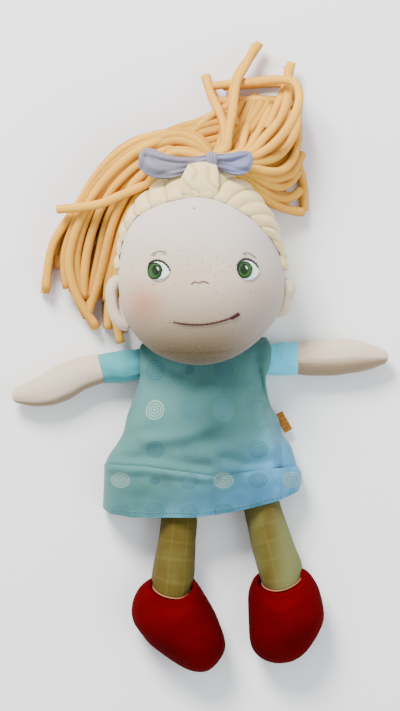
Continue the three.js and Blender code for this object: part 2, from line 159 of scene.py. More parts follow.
class Skin:
    """Collects grids of points into one mesh, with UVs in metres."""

    def __init__(self):
        self.points, self.faces, self.uvs, self.slots, self.depth = [], [], [], [], []

    def grid(self, rows, wrap=False, caps=False, slot=0, depth=0.0):
        rows = np.asarray(rows, float)
        count, across = rows.shape[:2]
        base = len(self.points)
        self.points += rows.reshape(-1, 3).tolist()
        girth = np.linalg.norm(np.diff(rows, axis=1), axis=2).sum(1).max() * MM
        v = np.concatenate([[0], np.cumsum(np.linalg.norm(np.diff(rows, axis=0), axis=2).mean(1))]) * MM
        columns = across if wrap else across - 1
        for r in range(count - 1):
            for c in range(columns):
                d = (c + 1) % across
                a, b = base + r * across, base + (r + 1) * across
                self.faces.append((a + c, a + d, b + d, b + c))
                u0, u1 = c / columns * girth, (c + 1) / columns * girth
                self.uvs += [(u0, v[r]), (u1, v[r]), (u1, v[r + 1]), (u0, v[r + 1])]
                self.slots.append(slot)
        self.depth += np.broadcast_to(np.asarray(depth, float), rows.shape[:2]).ravel().tolist()
        if caps:
            for r, turned in ((0, True), (count - 1, False)):
                centre = len(self.points)
                self.points.append(rows[r].mean(0).tolist())
                self.depth.append(self.depth[base + r * across])
                for c in range(across):
                    a, b = base + r * across + c, base + r * across + (c + 1) % across
                    self.faces.append((b, a, centre) if turned else (a, b, centre))
                    self.uvs += [(0, v[r]), (0.002, v[r]), (0.001, v[r] + 0.002)]
                    self.slots.append(slot)
        return self

    def build(self, name, *materials):
        mesh = bpy.data.meshes.new(name)
        mesh.from_pydata((np.array(self.points) * MM).tolist(), [], self.faces)
        for material in materials:
            mesh.materials.append(material)
        layer = mesh.uv_layers.new(name="UVMap")
        layer.data.foreach_set("uv", np.array(self.uvs, float).ravel())
        # the depth attribute marks where the material paints shade
        if any(self.depth):
            mesh.attributes.new("depth", "FLOAT", "POINT").data.foreach_set("value", self.depth)
        mesh.polygons.foreach_set("use_smooth", [True] * len(self.faces))
        mesh.polygons.foreach_set("material_index", self.slots)
        mesh.validate()
        mesh.update()
        piece = bpy.data.objects.new(name, mesh)
        bpy.context.scene.collection.objects.link(piece)
        return piece


def tube_rows(path, radius, sides=12, flat=1.0, up=None):
    """Rings around a path. radius and flat (height over width) may change along it."""
    path = np.asarray(path, float)
    n = len(path)
    radius = np.broadcast_to(np.asarray(radius, float), n)
    flat = np.broadcast_to(np.asarray(flat, float), n)
    along = np.gradient(path, axis=0)
    along /= np.linalg.norm(along, axis=1)[:, None]
    normal = np.array([0, 0, 1.0]) if up is None else None
    turns = 2 * np.pi * np.arange(sides) / sides
    rows = []
    for k in range(n):
        if up is not None:
            normal = up[k]
        normal = normal - along[k] * (normal @ along[k])
        normal = normal / max(np.linalg.norm(normal), 1e-9)
        side = np.cross(along[k], normal)
        ring = (np.cos(turns)[:, None] * side + flat[k] * np.sin(turns)[:, None] * normal) * radius[k]
        rows.append(path[k] + ring)
    return np.array(rows)


def lumps(rows, size, depth, seed):
    """Moves points a little along Perlin noise, as stuffing does under cloth."""
    flat = rows.reshape(-1, 3)
    centre = flat.mean(0)
    shift = Vector((seed * 7.3, seed * 3.1, seed * 5.7))
    for k, p in enumerate(flat):
        amount = noise.noise(Vector(p) / size + shift) * depth
        out = p - centre
        flat[k] = p + out / max(np.linalg.norm(out), 1e-6) * amount
    return rows


# ---- Materials ----

def linear(colour):
    return tuple(((c / 255 + 0.055) / 1.055) ** 2.4 if c > 10 else c / 255 / 12.92 for c in colour) + (1.0,)


class Cloth:
    """A node material with colour variation, weave or nap bump, and sheen."""

    def __init__(self, name, colour, roughness=0.9, sheen=0.0):
        self.material = bpy.data.materials.new(name)
        self.material.use_nodes = True
        self.nodes = self.material.node_tree.nodes
        self.links = self.material.node_tree.links
        self.shader = self.nodes["Principled BSDF"]
        self.shader.inputs["Roughness"].default_value = roughness
        self.shader.inputs["Specular IOR Level"].default_value = 0.25
        if sheen:
            self.shader.inputs["Sheen Weight"].default_value = sheen
            self.shader.inputs["Sheen Roughness"].default_value = 0.45
        self.object = self.node("ShaderNodeTexCoord").outputs["Object"]
        self.uv = self.node("ShaderNodeTexCoord").outputs["UV"]
        base = self.node("ShaderNodeRGB")
        base.outputs[0].default_value = linear(colour)
        self.colour = base.outputs[0]
        self.height = None

    def node(self, kind, **settings):
        made = self.nodes.new(kind)
        for key, value in settings.items():
            setattr(made, key, value)
        return made

    def feed(self, target, source):
        if isinstance(source, bpy.types.NodeSocket):
            self.links.new(source, target)
        else:
            target.default_value = source

    def math(self, operation, a, b=0.0, c=0.0):
        made = self.node("ShaderNodeMath", operation=operation)
        for target, source in zip(made.inputs, (a, b, c)):
            self.feed(target, source)
        return made.outputs[0]

    def noise(self, scale, detail=3.0):
        made = self.node("ShaderNodeTexNoise")
        self.feed(made.inputs["Vector"], self.object)
        made.inputs["Scale"].default_value = scale
        made.inputs["Detail"].default_value = detail
        return made.outputs["Fac"]

    def between(self, value, low, high):
        made = self.node("ShaderNodeMapRange", interpolation_type="SMOOTHSTEP")
        self.feed(made.inputs["Value"], value)
        made.inputs["From Min"].default_value = low
        made.inputs["From Max"].default_value = high
        return made.outputs["Result"]

    def tint(self, mask, colour, strength=1.0):
        """Mixes a colour in where the mask is 1."""
        made = self.node("ShaderNodeMix", data_type="RGBA")
        amount = mask if strength == 1.0 else self.math("MULTIPLY", mask, strength)
        self.feed(made.inputs[0], amount)
        self.feed(made.inputs[6], self.colour)
        self.feed(made.inputs[7], linear(colour) if isinstance(colour, tuple) else colour)
        self.colour = made.outputs[2]
        return self

    def split(self, vector):
        made = self.node("ShaderNodeSeparateXYZ")
        self.feed(made.inputs[0], vector)
        return made

    def waves(self, value, pitch):
        return self.math("SINE", self.math("MULTIPLY", value, 2 * math.pi / pitch))

    def mottle(self, scale, detail, low, high, colour, strength):
        """Mixes a colour in by patches of noise."""
        return self.tint(self.between(self.noise(scale, detail), low, high), colour, strength)

    def shade_depth(self, colour, strength):
        """Paints shade: mixes a colour in where the mesh's own depth attribute is high."""
        mark = self.node("ShaderNodeAttribute", attribute_name="depth")
        return self.tint(mark.outputs["Fac"], colour, strength)

    def raise_by(self, value, depth):
        """Adds value times depth, in metres, to the bump height."""
        amount = self.math("MULTIPLY", value, depth)
        self.height = amount if self.height is None else self.math("ADD", self.height, amount)
        return self

    def threads(self, pitch, depth):
        """A plain weave of the given thread pitch in metres."""
        place = self.split(self.uv)
        self.raise_by(self.math("MULTIPLY", *(self.waves(place.outputs[k], pitch) for k in (0, 1))), depth)

    def done(self):
        self.links.new(self.colour, self.shader.inputs["Base Color"])
        if self.height is not None:
            bump = self.node("ShaderNodeBump")
            bump.inputs["Strength"].default_value = 1.0
            bump.inputs["Distance"].default_value = 1.0
            self.links.new(self.height, bump.inputs["Height"])
            self.links.new(bump.outputs[0], self.shader.inputs["Normal"])
        return self.material


def warm(cloth, weight, radius, scale):
    """Light that passes a little way into pale cloth."""
    cloth.shader.inputs["Subsurface Weight"].default_value = weight
    cloth.shader.inputs["Subsurface Radius"].default_value = radius
    cloth.shader.inputs["Subsurface Scale"].default_value = scale


def skin_material(name, face=False):
    cloth = Cloth(name, (208, 190, 168), 0.95, 0.2)
    warm(cloth, 0.05, (1.0, 0.6, 0.4), 0.003)
    cloth.mottle(18, 3, 0.35, 0.75, (194, 170, 138), 0.5)
    cloth.mottle(900, 2, 0.45, 0.7, (184, 162, 140), 0.35)
    flecks = cloth.node("ShaderNodeTexVoronoi", feature="F1")
    cloth.feed(flecks.inputs["Vector"], cloth.object)
    flecks.inputs["Scale"].default_value = 105
    spot = cloth.math("LESS_THAN", flecks.outputs["Distance"], 0.075)
    split = cloth.node("ShaderNodeSeparateColor")
    cloth.feed(split.inputs[0], flecks.outputs["Color"])
    some = cloth.math("GREATER_THAN", split.outputs[0], 0.45)
    cloth.tint(cloth.math("MULTIPLY", spot, some), (112, 88, 78), 0.6)
    # painted shade: darker tan in the chin seam's groove and on each hand's lower side, below its seam
    cloth.shade_depth((126, 102, 70), 0.8)
    if face:
        # painted light: the top of the head paler and greyer
        crown = cloth.split(cloth.object)
        cloth.tint(cloth.between(crown.outputs[1], 0.076, 0.112), (206, 198, 194), 0.7)
        for place, reach, strength in ((CHEEKS[0], 0.019, 0.5), (CHEEKS[1], 0.015, 0.3)):
            cloth.tint(near(cloth, place, reach), (196, 108, 70), strength)
        for place in FRECKLES:
            cloth.tint(near(cloth, place, 0.0011), (120, 100, 92), 0.5)
        cloth.tint(near(cloth, (-6.6, 118.8), 0.0011), (52, 44, 44), 0.9)
        split = cloth.split(cloth.object)
        # painted shade: the face darker and tan towards the chin
        chin_shade = cloth.between(cloth.math("MULTIPLY", split.outputs[1], -1.0), -0.084, -0.03)
        cloth.tint(chin_shade, (112, 90, 58), 0.95)
        # painted shade: darker still along the lower rim of the face
        below = cloth.between(cloth.math("MULTIPLY", split.outputs[1], -1.0), -0.046, -0.026)
        cloth.tint(below, (70, 60, 40), 0.7)
        fuzz = cloth.between(cloth.noise(620, 3), 0.4, 0.8)
        cloth.tint(cloth.math("MULTIPLY", fuzz, chin_shade), (150, 128, 94), 0.3)
        # painted shade: the face greyer and darker towards +x
        shaded_side = cloth.between(split.outputs[0], 0.0, 0.05)
        cloth.tint(shaded_side, (160, 156, 160), 0.5)
    cloth.raise_by(cloth.noise(1400, 3), 0.00022)
    cloth.raise_by(cloth.noise(160, 2), 0.0003)
    return cloth.done()


def near(cloth, place, reach, above=0.045):
    """A soft round mask about a place given in plan, on whatever lies above a height."""
    split = cloth.split(cloth.object)
    across = cloth.math("SUBTRACT", split.outputs[0], place[0] * MM)
    along = cloth.math("SUBTRACT", split.outputs[1], place[1] * MM)
    squares = cloth.math("ADD", cloth.math("MULTIPLY", across, across),
                         cloth.math("MULTIPLY", along, along))
    inside = cloth.between(cloth.math("MULTIPLY", cloth.math("SQRT", squares), -1.0), -reach, 0.0)
    front = cloth.math("GREATER_THAN", split.outputs[2], above)
    return cloth.math("MULTIPLY", inside, front)


CHEEKS = ((-36.6, 63.6), (34.2, 70.2))
FRECKLES = (
    (-16, 94), (6.6, 90.6), (-10.2, 85.8), (-1.8, 87), (3, 84.6), (10.2, 87), (14.4, 84.6), (10.2, 81.6),
    (6, 78.6), (-18, 74.4), (-29.4, 73.8), (-39, 73.8), (6.6, 69.6), (26.4, 69.6), (3, 55.2), (-33, 54.6),
    (-24, 48.6),
)


def hair_material():
    cloth = Cloth("hair_jersey", (226, 170, 60), 0.85, 0.04)
    warm(cloth, 0.2, (1.0, 0.5, 0.14), 0.004)
    cloth.mottle(26, 3, 0.35, 0.72, (208, 146, 56), 0.55)
    cloth.mottle(300, 2, 0.5, 0.8, (232, 192, 110), 0.35)
    # painted shade: strand sides and undersides turn orange as the normal tips away from straight up
    facing_for_shade = cloth.split(cloth.node("ShaderNodeNewGeometry").outputs["Normal"])
    cloth.tint(cloth.between(cloth.math("MULTIPLY", facing_for_shade.outputs[2], -1.0), -0.75, 0.1), (184, 104, 18),
               0.75)
    # painted shade: lower layers and deep strands darker orange
    cloth.shade_depth((140, 74, 12), 0.85)
    split = cloth.split(cloth.uv)
    ribs = cloth.waves(split.outputs[0], 0.00085)
    cloth.raise_by(ribs, 0.00004)
    cloth.raise_by(cloth.noise(900, 3), 0.00016)
    return cloth.done()


def scalp_material():
    cloth = Cloth("scalp_jersey", (220, 198, 146), 0.9, 0.1)
    warm(cloth, 0.2, (1.0, 0.6, 0.3), 0.004)
    cloth.mottle(40, 3, 0.4, 0.75, (212, 188, 134), 0.5)
    # painted shade: darker in the creases between locks and in the petal's creases
    cloth.shade_depth((150, 114, 62), 0.8)
    cloth.raise_by(cloth.noise(1000, 3), 0.00018)
    return cloth.done()


def bow_material():
    cloth = Cloth("bow_ribbon", (116, 112, 124), 0.5, 0.25)
    cloth.shader.inputs["Specular IOR Level"].default_value = 0.45
    cloth.mottle(60, 3, 0.35, 0.7, (92, 88, 106), 0.7)
    split = cloth.split(cloth.uv)
    ribs = cloth.waves(split.outputs[1], 0.0007)
    cloth.raise_by(ribs, 0.00003)
    # painted cool shade: the loop at +x darker and bluer
    place = cloth.split(cloth.object)
    cloth.tint(cloth.between(place.outputs[0], 0.004, 0.016), (96, 104, 150), 0.6)
    cloth.raise_by(cloth.noise(500, 2), 0.00012)
    cloth.raise_by(cloth.noise(110, 3), 0.0007)
    return cloth.done()


def jersey_material(name, colour, shade):
    cloth = Cloth(name, colour, 0.85, 0.2)
    cloth.mottle(35, 3, 0.35, 0.7, shade, 0.5)
    # painted light: the jersey paler and bluer towards +x
    place = cloth.split(cloth.object)
    cloth.tint(cloth.between(place.outputs[0], -0.02, 0.03), (98, 212, 238), 0.95)
    cloth.threads(0.0009, 0.00005)
    cloth.raise_by(cloth.noise(700, 3), 0.00016)
    cloth.raise_by(cloth.noise(140, 3), 0.0009)
    return cloth.done()


def thread_material(name, colour):
    cloth = Cloth(name, colour, 0.55, 0.2)
    cloth.mottle(1500, 2, 0.4, 0.7, tuple(int(c * 0.75) for c in colour), 0.6)
    cloth.raise_by(cloth.noise(2500, 2), 0.0001)
    return cloth.done()


CHECK = 0.0034  # metres from line to line of the woven check
WIDE_CHECK = 0.0102


def leg_material():
    """Olive cotton with a small woven check."""
    cloth = Cloth("leg_check", (82, 68, 14), 0.9, 0.03)
    split = cloth.split(cloth.uv)
    for axis in (0, 1):
        narrow = cloth.waves(split.outputs[axis], CHECK)
        cloth.tint(cloth.between(narrow, -0.15, 0.15), (80, 66, 12), 0.16)
        wide = cloth.waves(split.outputs[axis], WIDE_CHECK)
        cloth.tint(cloth.between(wide, 0.75, 0.98), (118, 106, 48), 0.14)
    cloth.mottle(30, 3, 0.45, 0.72, (104, 106, 54), 0.7)
    # painted light: the left leg paler and greyer towards +x
    place = cloth.split(cloth.object)
    cloth.tint(cloth.between(place.outputs[0], 0.036, 0.052), (112, 116, 72), 0.75)
    cloth.threads(0.0007, 0.00007)
    cloth.raise_by(cloth.noise(260, 3), 0.0003)
    return cloth.done()


def shoe_material():
    cloth = Cloth("shoe_felt", (84, 2, 6), 1.0, 0.0)
    cloth.shader.inputs["IOR"].default_value = 1.15
    cloth.mottle(28, 3, 0.35, 0.7, (58, 0, 2), 0.6)
    cloth.mottle(900, 2, 0.45, 0.75, (96, 1, 3), 0.35)
    cloth.raise_by(cloth.noise(1300, 3), 0.0003)
    cloth.raise_by(cloth.noise(120, 2), 0.0004)
    return cloth.done()


PRINT_COLUMN = 20.5  # spacing of the printed rings across the cloth
PRINT_ROW = 22.0
PALE_RINGS = ((0, 1), (-1, 3), (2, 3), (4, 3))  # column and row of the rings printed in white
DOTS = ((1, 0), (0, 3))  # small plain dots
BARE = ((3, 0), (4, 2), (-1, 2))


def spots(cloth, cells, wanted):
    """1 in the cells of the print that are wanted, by column and row."""
    mask = 0.0
    for column, row in wanted:
        hit = cloth.math("MULTIPLY",
                         cloth.math("COMPARE", cells[0], float(column), 0.1),
                         cloth.math("COMPARE", cells[1], float(row), 0.1))
        mask = cloth.math("MAXIMUM", mask, hit)
    return mask


SHADED_MIDDLE = (8, -6)  # painted shade: the dress is darkest here
LIT_LOW_LEFT = (46, -40)  # painted light: palest and bluest here


def dress_material():
    """Teal cotton printed with rows of rings. The UV map counts columns and rows of the print."""
    cloth = Cloth("dress_cotton", (74, 122, 118), 0.85, 0.12)
    place = cloth.split(cloth.object)
    # painted cool light: the dress bluer towards its lower +x side
    cool_light_slant = cloth.math("ADD", cloth.math("MULTIPLY", place.outputs[0], 0.75),
                       cloth.math("MULTIPLY", place.outputs[1], -1.0))
    cloth.tint(cloth.between(cool_light_slant, 0.02, 0.095), (72, 140, 186), 1.0)
    cloth.mottle(16, 2, 0.4, 0.7, (44, 88, 90), 0.55)
    # painted shade about the middle and painted light low at +x
    for spot, reach, shade, strength in ((SHADED_MIDDLE, 0.038, (30, 66, 68), 0.8),
                                         (LIT_LOW_LEFT, 0.03, (92, 166, 210), 0.6)):
        cloth.tint(near(cloth, spot, reach, 0.0), shade, strength)
    split = cloth.split(cloth.uv)
    wobble = cloth.math("MULTIPLY", cloth.math("SUBTRACT", cloth.noise(70, 2), 0.5), 0.1)
    cells, offsets = [], []
    for axis in (0, 1):
        shifted = cloth.math("ADD", split.outputs[axis], 0.5)
        cell = cloth.math("FLOOR", shifted)
        cells.append(cell)
        offset = cloth.math("SUBTRACT", cloth.math("SUBTRACT", shifted, cell), 0.5)
        offsets.append(cloth.math("ADD", offset, wobble))
    square = [cloth.math("MULTIPLY", o, size) for o, size in zip(offsets, (PRINT_COLUMN, PRINT_ROW))]
    radius = cloth.math("SQRT", cloth.math("ADD", *[cloth.math("MULTIPLY", s, s) for s in square]))
    key = cloth.node("ShaderNodeCombineXYZ")
    cloth.feed(key.inputs[0], cells[0])
    cloth.feed(key.inputs[1], cells[1])
    chance = cloth.node("ShaderNodeTexWhiteNoise", noise_dimensions="3D")
    cloth.feed(chance.inputs["Vector"], key.outputs[0])
    reach = cloth.math("ADD", cloth.math("MULTIPLY", chance.outputs["Value"], 1.3), 5.3)
    inside = cloth.math("LESS_THAN", radius, reach)
    inside = cloth.math("MULTIPLY", inside, cloth.math("SUBTRACT", 1.0, spots(cloth, cells, DOTS + BARE)))
    dots = cloth.math("MULTIPLY", cloth.math("LESS_THAN", radius, 3.0), spots(cloth, cells, DOTS))
    cloth.tint(dots, (48, 92, 100), 0.6)
    rings = cloth.waves(radius, 1.6)
    line = cloth.math("MULTIPLY", cloth.between(rings, 0.25, 0.7), inside)
    pale = spots(cloth, cells, PALE_RINGS)
    plain = cloth.math("SUBTRACT", 1.0, pale)
    cloth.tint(cloth.math("MULTIPLY", inside, plain), (60, 106, 112), 0.3)
    cloth.tint(cloth.math("MULTIPLY", line, plain), (44, 86, 96), 0.5)
    cloth.tint(cloth.math("MULTIPLY", inside, pale), (96, 138, 132), 0.35)
    cloth.tint(cloth.math("MULTIPLY", line, pale), (166, 182, 160), 0.6)
    cloth.threads(0.035, 0.00004)
    cloth.raise_by(cloth.noise(1100, 2), 0.00012)
    cloth.raise_by(cloth.noise(90, 3), 0.0004)
    return cloth.done()


def tag_material():
    cloth = Cloth("tag_woven", (140, 92, 22), 0.7, 0.05)
    cloth.mottle(500, 2, 0.4, 0.65, (172, 118, 34), 0.6)
    split = cloth.split(cloth.uv)
    bars = cloth.waves(split.outputs[0], 0.0024)
    cloth.tint(cloth.between(bars, 0.2, 0.6), (128, 62, 20), 0.6)
    cloth.threads(0.0006, 0.00006)
    return cloth.done()


# ---- Placing pieces ----

def settle(piece, slot, body, *nodes, blend=None, pad=None):
    """Rides a piece on its body, or with blend bakes its transform in place, and hides the CAD nodes it
    stands for; slot and pad are not used.
    """
    if blend:
        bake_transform(piece)
    else:
        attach(piece, body)
    if nodes:
        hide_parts(*nodes)
    return piece


def thick(piece, depth, offset=-1.0):
    solid = piece.modifiers.new("thickness", "SOLIDIFY")
    solid.thickness = depth * MM
    solid.offset = offset
    apply(piece)
    piece.data.set_sharp_from_angle(angle=math.radians(50))


def apply(piece):
    """Turns the modifiers into the mesh itself."""
    graph = bpy.context.evaluated_depsgraph_get()
    mesh = bpy.data.meshes.new_from_object(piece.evaluated_get(graph))
    piece.modifiers.clear()
    piece.data = mesh


# ---- Hair ----

STRAND_R = 2.7
LONG_STRANDS = {
    "right_strand_1": [(-71, 120, 12), (-84, 110, 6), (-90, 98, 3.2), (-95, 84, 3.2), (-97, 70, 3.2)],
    "right_strand_2": [(-62, 104, 12), (-74, 92, 5), (-81, 78, 3.2), (-76, 66, 3.2), (-66, 49, 3.2)],
    "right_strand_3": [(-54, 116, 22), (-59, 100, 16), (-65, 84, 10), (-69, 70, 9), (-71, 57, 9)],
    "right_strand_4": [(-60, 112, 12), (-53, 98, 7), (-52, 84, 6), (-53, 66, 5), (-51, 46, 3.2)],
    "right_strand_5": [(-50, 128, 38.5), (-62, 123, 37), (-74, 121, 33.5), (-88, 120, 26)],
    "left_strand_1": [(18, 170, 27), (16, 184, 20), (19, 200, 13), (27, 212, 10), (33, 221, 9)],
    "left_strand_2": [(15, 163, 26), (7, 184, 11), (2, 196, 4), (0, 202, 3.2)],
    "left_strand_3": [(37, 168, 26), (44, 184, 18), (49, 196, 12), (52, 209, 9)],
    "left_strand_4": [(40, 168, 14), (54, 181, 3.2), (54, 192, 3.2), (44, 197, 3.2), (24, 196, 3.4),
                      (11, 195, 6)],
    "left_strand_5": [(42, 166, 14), (53, 154, 8), (59, 138, 3.2), (60, 120, 3.2)],
}
# Where the strands of each ponytail lie, from its outer edge to its inner edge.
RIGHT_GUIDES = (
    [(4, 152), (-9, 166), (-26, 165), (-41, 161), (-53, 153), (-63, 143), (-70, 132), (-76, 121),
     (-84, 110), (-91, 98),
     (-94, 84), (-95, 72)],
    [(3, 151), (-14, 163), (-32, 158), (-47, 149), (-59, 138), (-68, 126), (-75, 113), (-80, 100),
     (-82, 88), (-80, 75),
     (-74, 61), (-66, 49)],
    [(3, 150), (-16, 158), (-34, 150), (-47, 140), (-57, 128), (-64, 114), (-69, 99), (-72, 84), (-73, 68)],
    [(2, 149), (-18, 153), (-33, 144), (-44, 133), (-52, 119), (-57, 104), (-60, 90), (-64, 75), (-70, 57)],
    [(2, 148), (-20, 147), (-33, 137), (-43, 124), (-50, 109), (-54, 94), (-57, 80), (-58, 64), (-58, 48)],
    [(2, 147), (-24, 143), (-37, 131), (-46, 115), (-51, 98), (-53, 80), (-54, 62), (-50, 40)],
)
LEFT_GUIDES = (
    [(6, 147), (21, 139), (33, 129), (43, 122), (50, 119.5), (58, 119)],
    [(6, 148), (22, 141), (35, 132), (45, 127), (52, 127), (57, 131)],
    [(6, 148), (24, 142), (37, 135), (46, 133), (52, 136), (57, 143)],
    [(6, 149), (26, 143), (39, 138), (48, 139), (53, 143), (57, 154)],
    [(6, 149), (28, 144), (43, 143), (52, 150), (56, 161), (57, 171)],
    [(6, 149), (28, 148), (42, 151), (51, 159), (56, 170), (56, 181)],
    [(5, 150), (26, 150), (38, 156), (48, 166), (54, 178), (55.6, 189), (53, 195.5), (45, 198), (30, 197.6),
     (16, 197), (2, 195.6)],
    [(5, 150), (24, 151), (35, 162), (44, 174), (49, 188), (51, 207)],
    [(4, 150), (22, 152), (30, 163), (37, 176), (41, 188)],
    [(3, 150), (19, 153), (24, 165), (28, 178), (30, 188)],
    [(3, 150), (17, 153), (20, 165), (22, 179)],
    [(2, 150), (12, 154), (14, 165), (16, 177), (17, 188), (19, 199), (25, 210), (31, 220)],
    [(2, 150), (11, 156), (12, 168), (9, 180), (4, 190), (0, 200)],
)
CROSSING = {"right": [(-12, 142, 40), (-24, 138, 41), (-38, 133, 40), (-51, 127.5, 38.4)],
            "left": [(6, 186, 11), (18, 185.5, 12), (31, 186.5, 13), (46, 186, 13)]}
# Strands on top of the right ponytail that come across from the left one.
CROSS_OVER = {0: [(27, 184), (17, 183), (5, 178)], 1: [(24, 175), (12, 172), (0, 167)],
              2: [(18, 166), (7, 163), (-5, 160)]}
# Strands deep between the two ponytails, and the fan that rises from the tie into the left one.
BRIDGE = [
    [(30, 179, 10), (19, 179, 15), (7, 177, 19), (-6, 171.5, 24), (-20, 167, 27), (-33, 160, 27)],
    [(29, 174, 12), (18, 174, 17), (6, 172, 21), (-7, 168, 26), (-21, 163, 28), (-34, 155, 28)],
    [(28, 170, 13), (16, 169, 18), (4, 167, 23), (-9, 163, 28), (-23, 157, 30)],
    [(26, 165, 15), (14, 164, 20), (2, 161, 26), (-12, 158, 31), (-26, 151, 31)],
    [(24, 160, 18), (12, 159, 23), (0, 156, 29), (-14, 152, 33)],
]
FAN = [
    [(9, 151, 36), (21, 161, 29), (31, 173, 21), (38, 185, 13)],
    [(8, 151, 36), (18, 161, 30), (27, 173, 22), (34, 185, 14)],
    [(8, 152, 36), (15, 162, 30), (22, 174, 22), (28, 185, 13)],
    [(7, 152, 36), (12, 162, 30), (17, 174, 22), (22, 185, 13)],
    [(6, 152, 36), (10, 162, 29), (12, 173, 20), (14, 184, 12)],
    [(11, 151, 35), (26, 160, 29), (37, 171, 21), (46, 186, 12)],
    [(11, 151, 35), (30, 158, 29), (42, 169, 21), (51, 186, 11)],
]
# Height of a ponytail's middle and half its depth, along it from the tie to the tips.
RIGHT_PROFILE = [(0, 40, 5), (0.15, 34, 8), (0.35, 25, 12), (0.6, 17, 12), (0.8, 11, 8), (1, 6.4, 3.4)]
LEFT_PROFILE = [(0, 41, 4), (0.2, 36, 7), (0.45, 24, 13), (0.7, 14, 9), (1, 6, 3)]
LAYERS = {"right": 5, "left": 4}


def profile(table, share):
    stations = [row[0] for row in table]
    return [np.interp(share, stations, [row[k] for row in table]) for k in (1, 2)]


def lay_strand(guide, table, across, layer, reach, dip=0.0):
    """One strand along a guide: layer 1 is the top of the bunch and 0 its underside."""
    steps = 14
    plan = smooth(guide, steps)
    share = np.linspace(0, 1, steps)
    middle, half = profile(table, share)
    crown = np.sqrt(np.clip(1 - (0.8 * across) ** 2, 0, 1))
    height = middle - half * 0.8 + layer * half * (0.8 + crown) - dip * np.clip(1 - share / 0.3, 0, 1)
    height += rng.uniform(-0.6, 0.6) + 0.7 * np.sin(share * rng.uniform(3, 8) + rng.uniform(0, 6))
    sway = 1.3 * np.sin(share[:, None] * np.array([5.1, 6.3])
                        + np.array([rng.uniform(0, 6), rng.uniform(0, 6)]))
    plan = plan + sway * share[:, None] * (1.3 if layer < 1 else 0.9)
    path = np.column_stack([plan, np.maximum(height, STRAND_R + 0.2)])
    dense = smooth(path, 60)
    return smooth(dense[:max(12, int(60 * reach))], max(16, int(len(dense) * reach * 0.8)))


def strand_rows(path):
    wave = 1 + 0.05 * np.sin(np.linspace(0, 17, len(path)) + rng.uniform(0, 6))
    return tube_rows(path, STRAND_R * wave, 12)


def between_guides(guides, place):
    low = min(int(place), len(guides) - 2)
    a, b = (smooth(guides[k], 10) for k in (low, low + 1))
    return (1 - (place - low)) * a + (place - low) * b


def make_ponytails(material):
    for side, guides, table in (("right", RIGHT_GUIDES, RIGHT_PROFILE),
                                ("left", LEFT_GUIDES, LEFT_PROFILE)):
        bunch = Skin()
        last = len(guides) - 1

        def add(guide, across, layer, reach, dip=0.0):
            rows = strand_rows(lay_strand(guide, table, across, layer, reach, dip))
            # painted shade: lower layers get more depth, which the hair material darkens
            bunch.grid(rows, wrap=True, caps=True, depth=(1 - layer) * 0.9)

        for k, guide in enumerate(guides):
            if side == "right" and k in CROSS_OVER:
                add(CROSS_OVER[k] + guide[1:], 2 * k / last - 1, 1.0, 1.0, 32.0)
            else:
                add(guide, 2 * k / last - 1, 1.0, 1.0)
        under = last if side == "right" else 9
        for level in range(1, LAYERS[side]):
            layer = 1 - level / (LAYERS[side] - 1)
            for k in range(under + 1):
                place = min(max(k + 0.5 * (level % 2) + rng.uniform(-0.2, 0.2), 0), under - 0.01)
                reach = rng.uniform(0.84, 1.0) if side == "right" else rng.uniform(0.7,
                        0.9) - (0.16 if k > 5 else 0)
                add(between_guides(guides, place), 2 * place / last - 1, layer, reach)
        for depth in (0, 1):
            for route in BRIDGE if side == "right" else FAN:
                shift = np.array([rng.uniform(1.5, 3), rng.uniform(-3, -1.5), -6.0]) * depth
                lowered = np.maximum(np.array(route) + shift, [-1000, -1000, STRAND_R + 0.3])
                # painted shade: depth on the bridge and fan strands, more on the lower copy
                bunch.grid(strand_rows(smooth(lowered, 40)), wrap=True, caps=True, depth=0.25 + 0.5 * depth)
        bunch.grid(strand_rows(smooth(CROSSING[side], 24)), wrap=True, caps=True)
        settle(bunch.build(side + "_bunch_strands", material), "hair_jersey", side + "_bunch",
               side + "_ponytail")
    for name, route in LONG_STRANDS.items():
        path = smooth(route, 40)
        path[:, 2] = np.maximum(path[:, 2], STRAND_R + 0.4)
        strand = Skin().grid(tube_rows(path, STRAND_R, 12), wrap=True, caps=True)
        piece = strand.build("long_" + name, material)
        settle(piece, "hair_jersey", name.split("_")[0] + "_bunch", name)


# ---- Head ----

HEAD = np.array([-2.0, 86.0, 37.8])
HEAD_DEPTH = 37.5
HEAD_OUTLINE = [
    (-4, 59), (-31, 44), (-45, 25), (-49.5, 1), (-49.5, -14), (-45, -33), (-32, -49), (-16, -57),
    (2, -59), (20, -54), (36, -42), (47.5, -25), (49.5, -8), (46.5, 10), (40, 30), (23, 49),
]
CHIN_SEAM = [(-42, 41), (-39.5, 37.5), (-31, 36), (-15, 34.7), (1, 34.5), (15, 36.2), (23.6, 39), (33, 46)]
RIM = smooth(HEAD_OUTLINE, 180, closed=True)
RIM_ANGLES = np.arctan2(RIM[:, 1], RIM[:, 0])
RIM_ORDER = np.argsort(RIM_ANGLES)
RIM_REACH = np.linalg.norm(RIM, axis=1)


def gap_to(line, x, y):
    """Distance from a point to a line of points, in plan."""
    a, b = line[:-1], line[1:]
    step = b - a
    p = np.array([x, y])
    t = np.clip(((p - a) * step).sum(1) / (step**2).sum(1), 0, 1)
    return float(np.linalg.norm(a + step * t[:, None] - p, axis=1).min())


CHIN_LINE = smooth(CHIN_SEAM, 40)


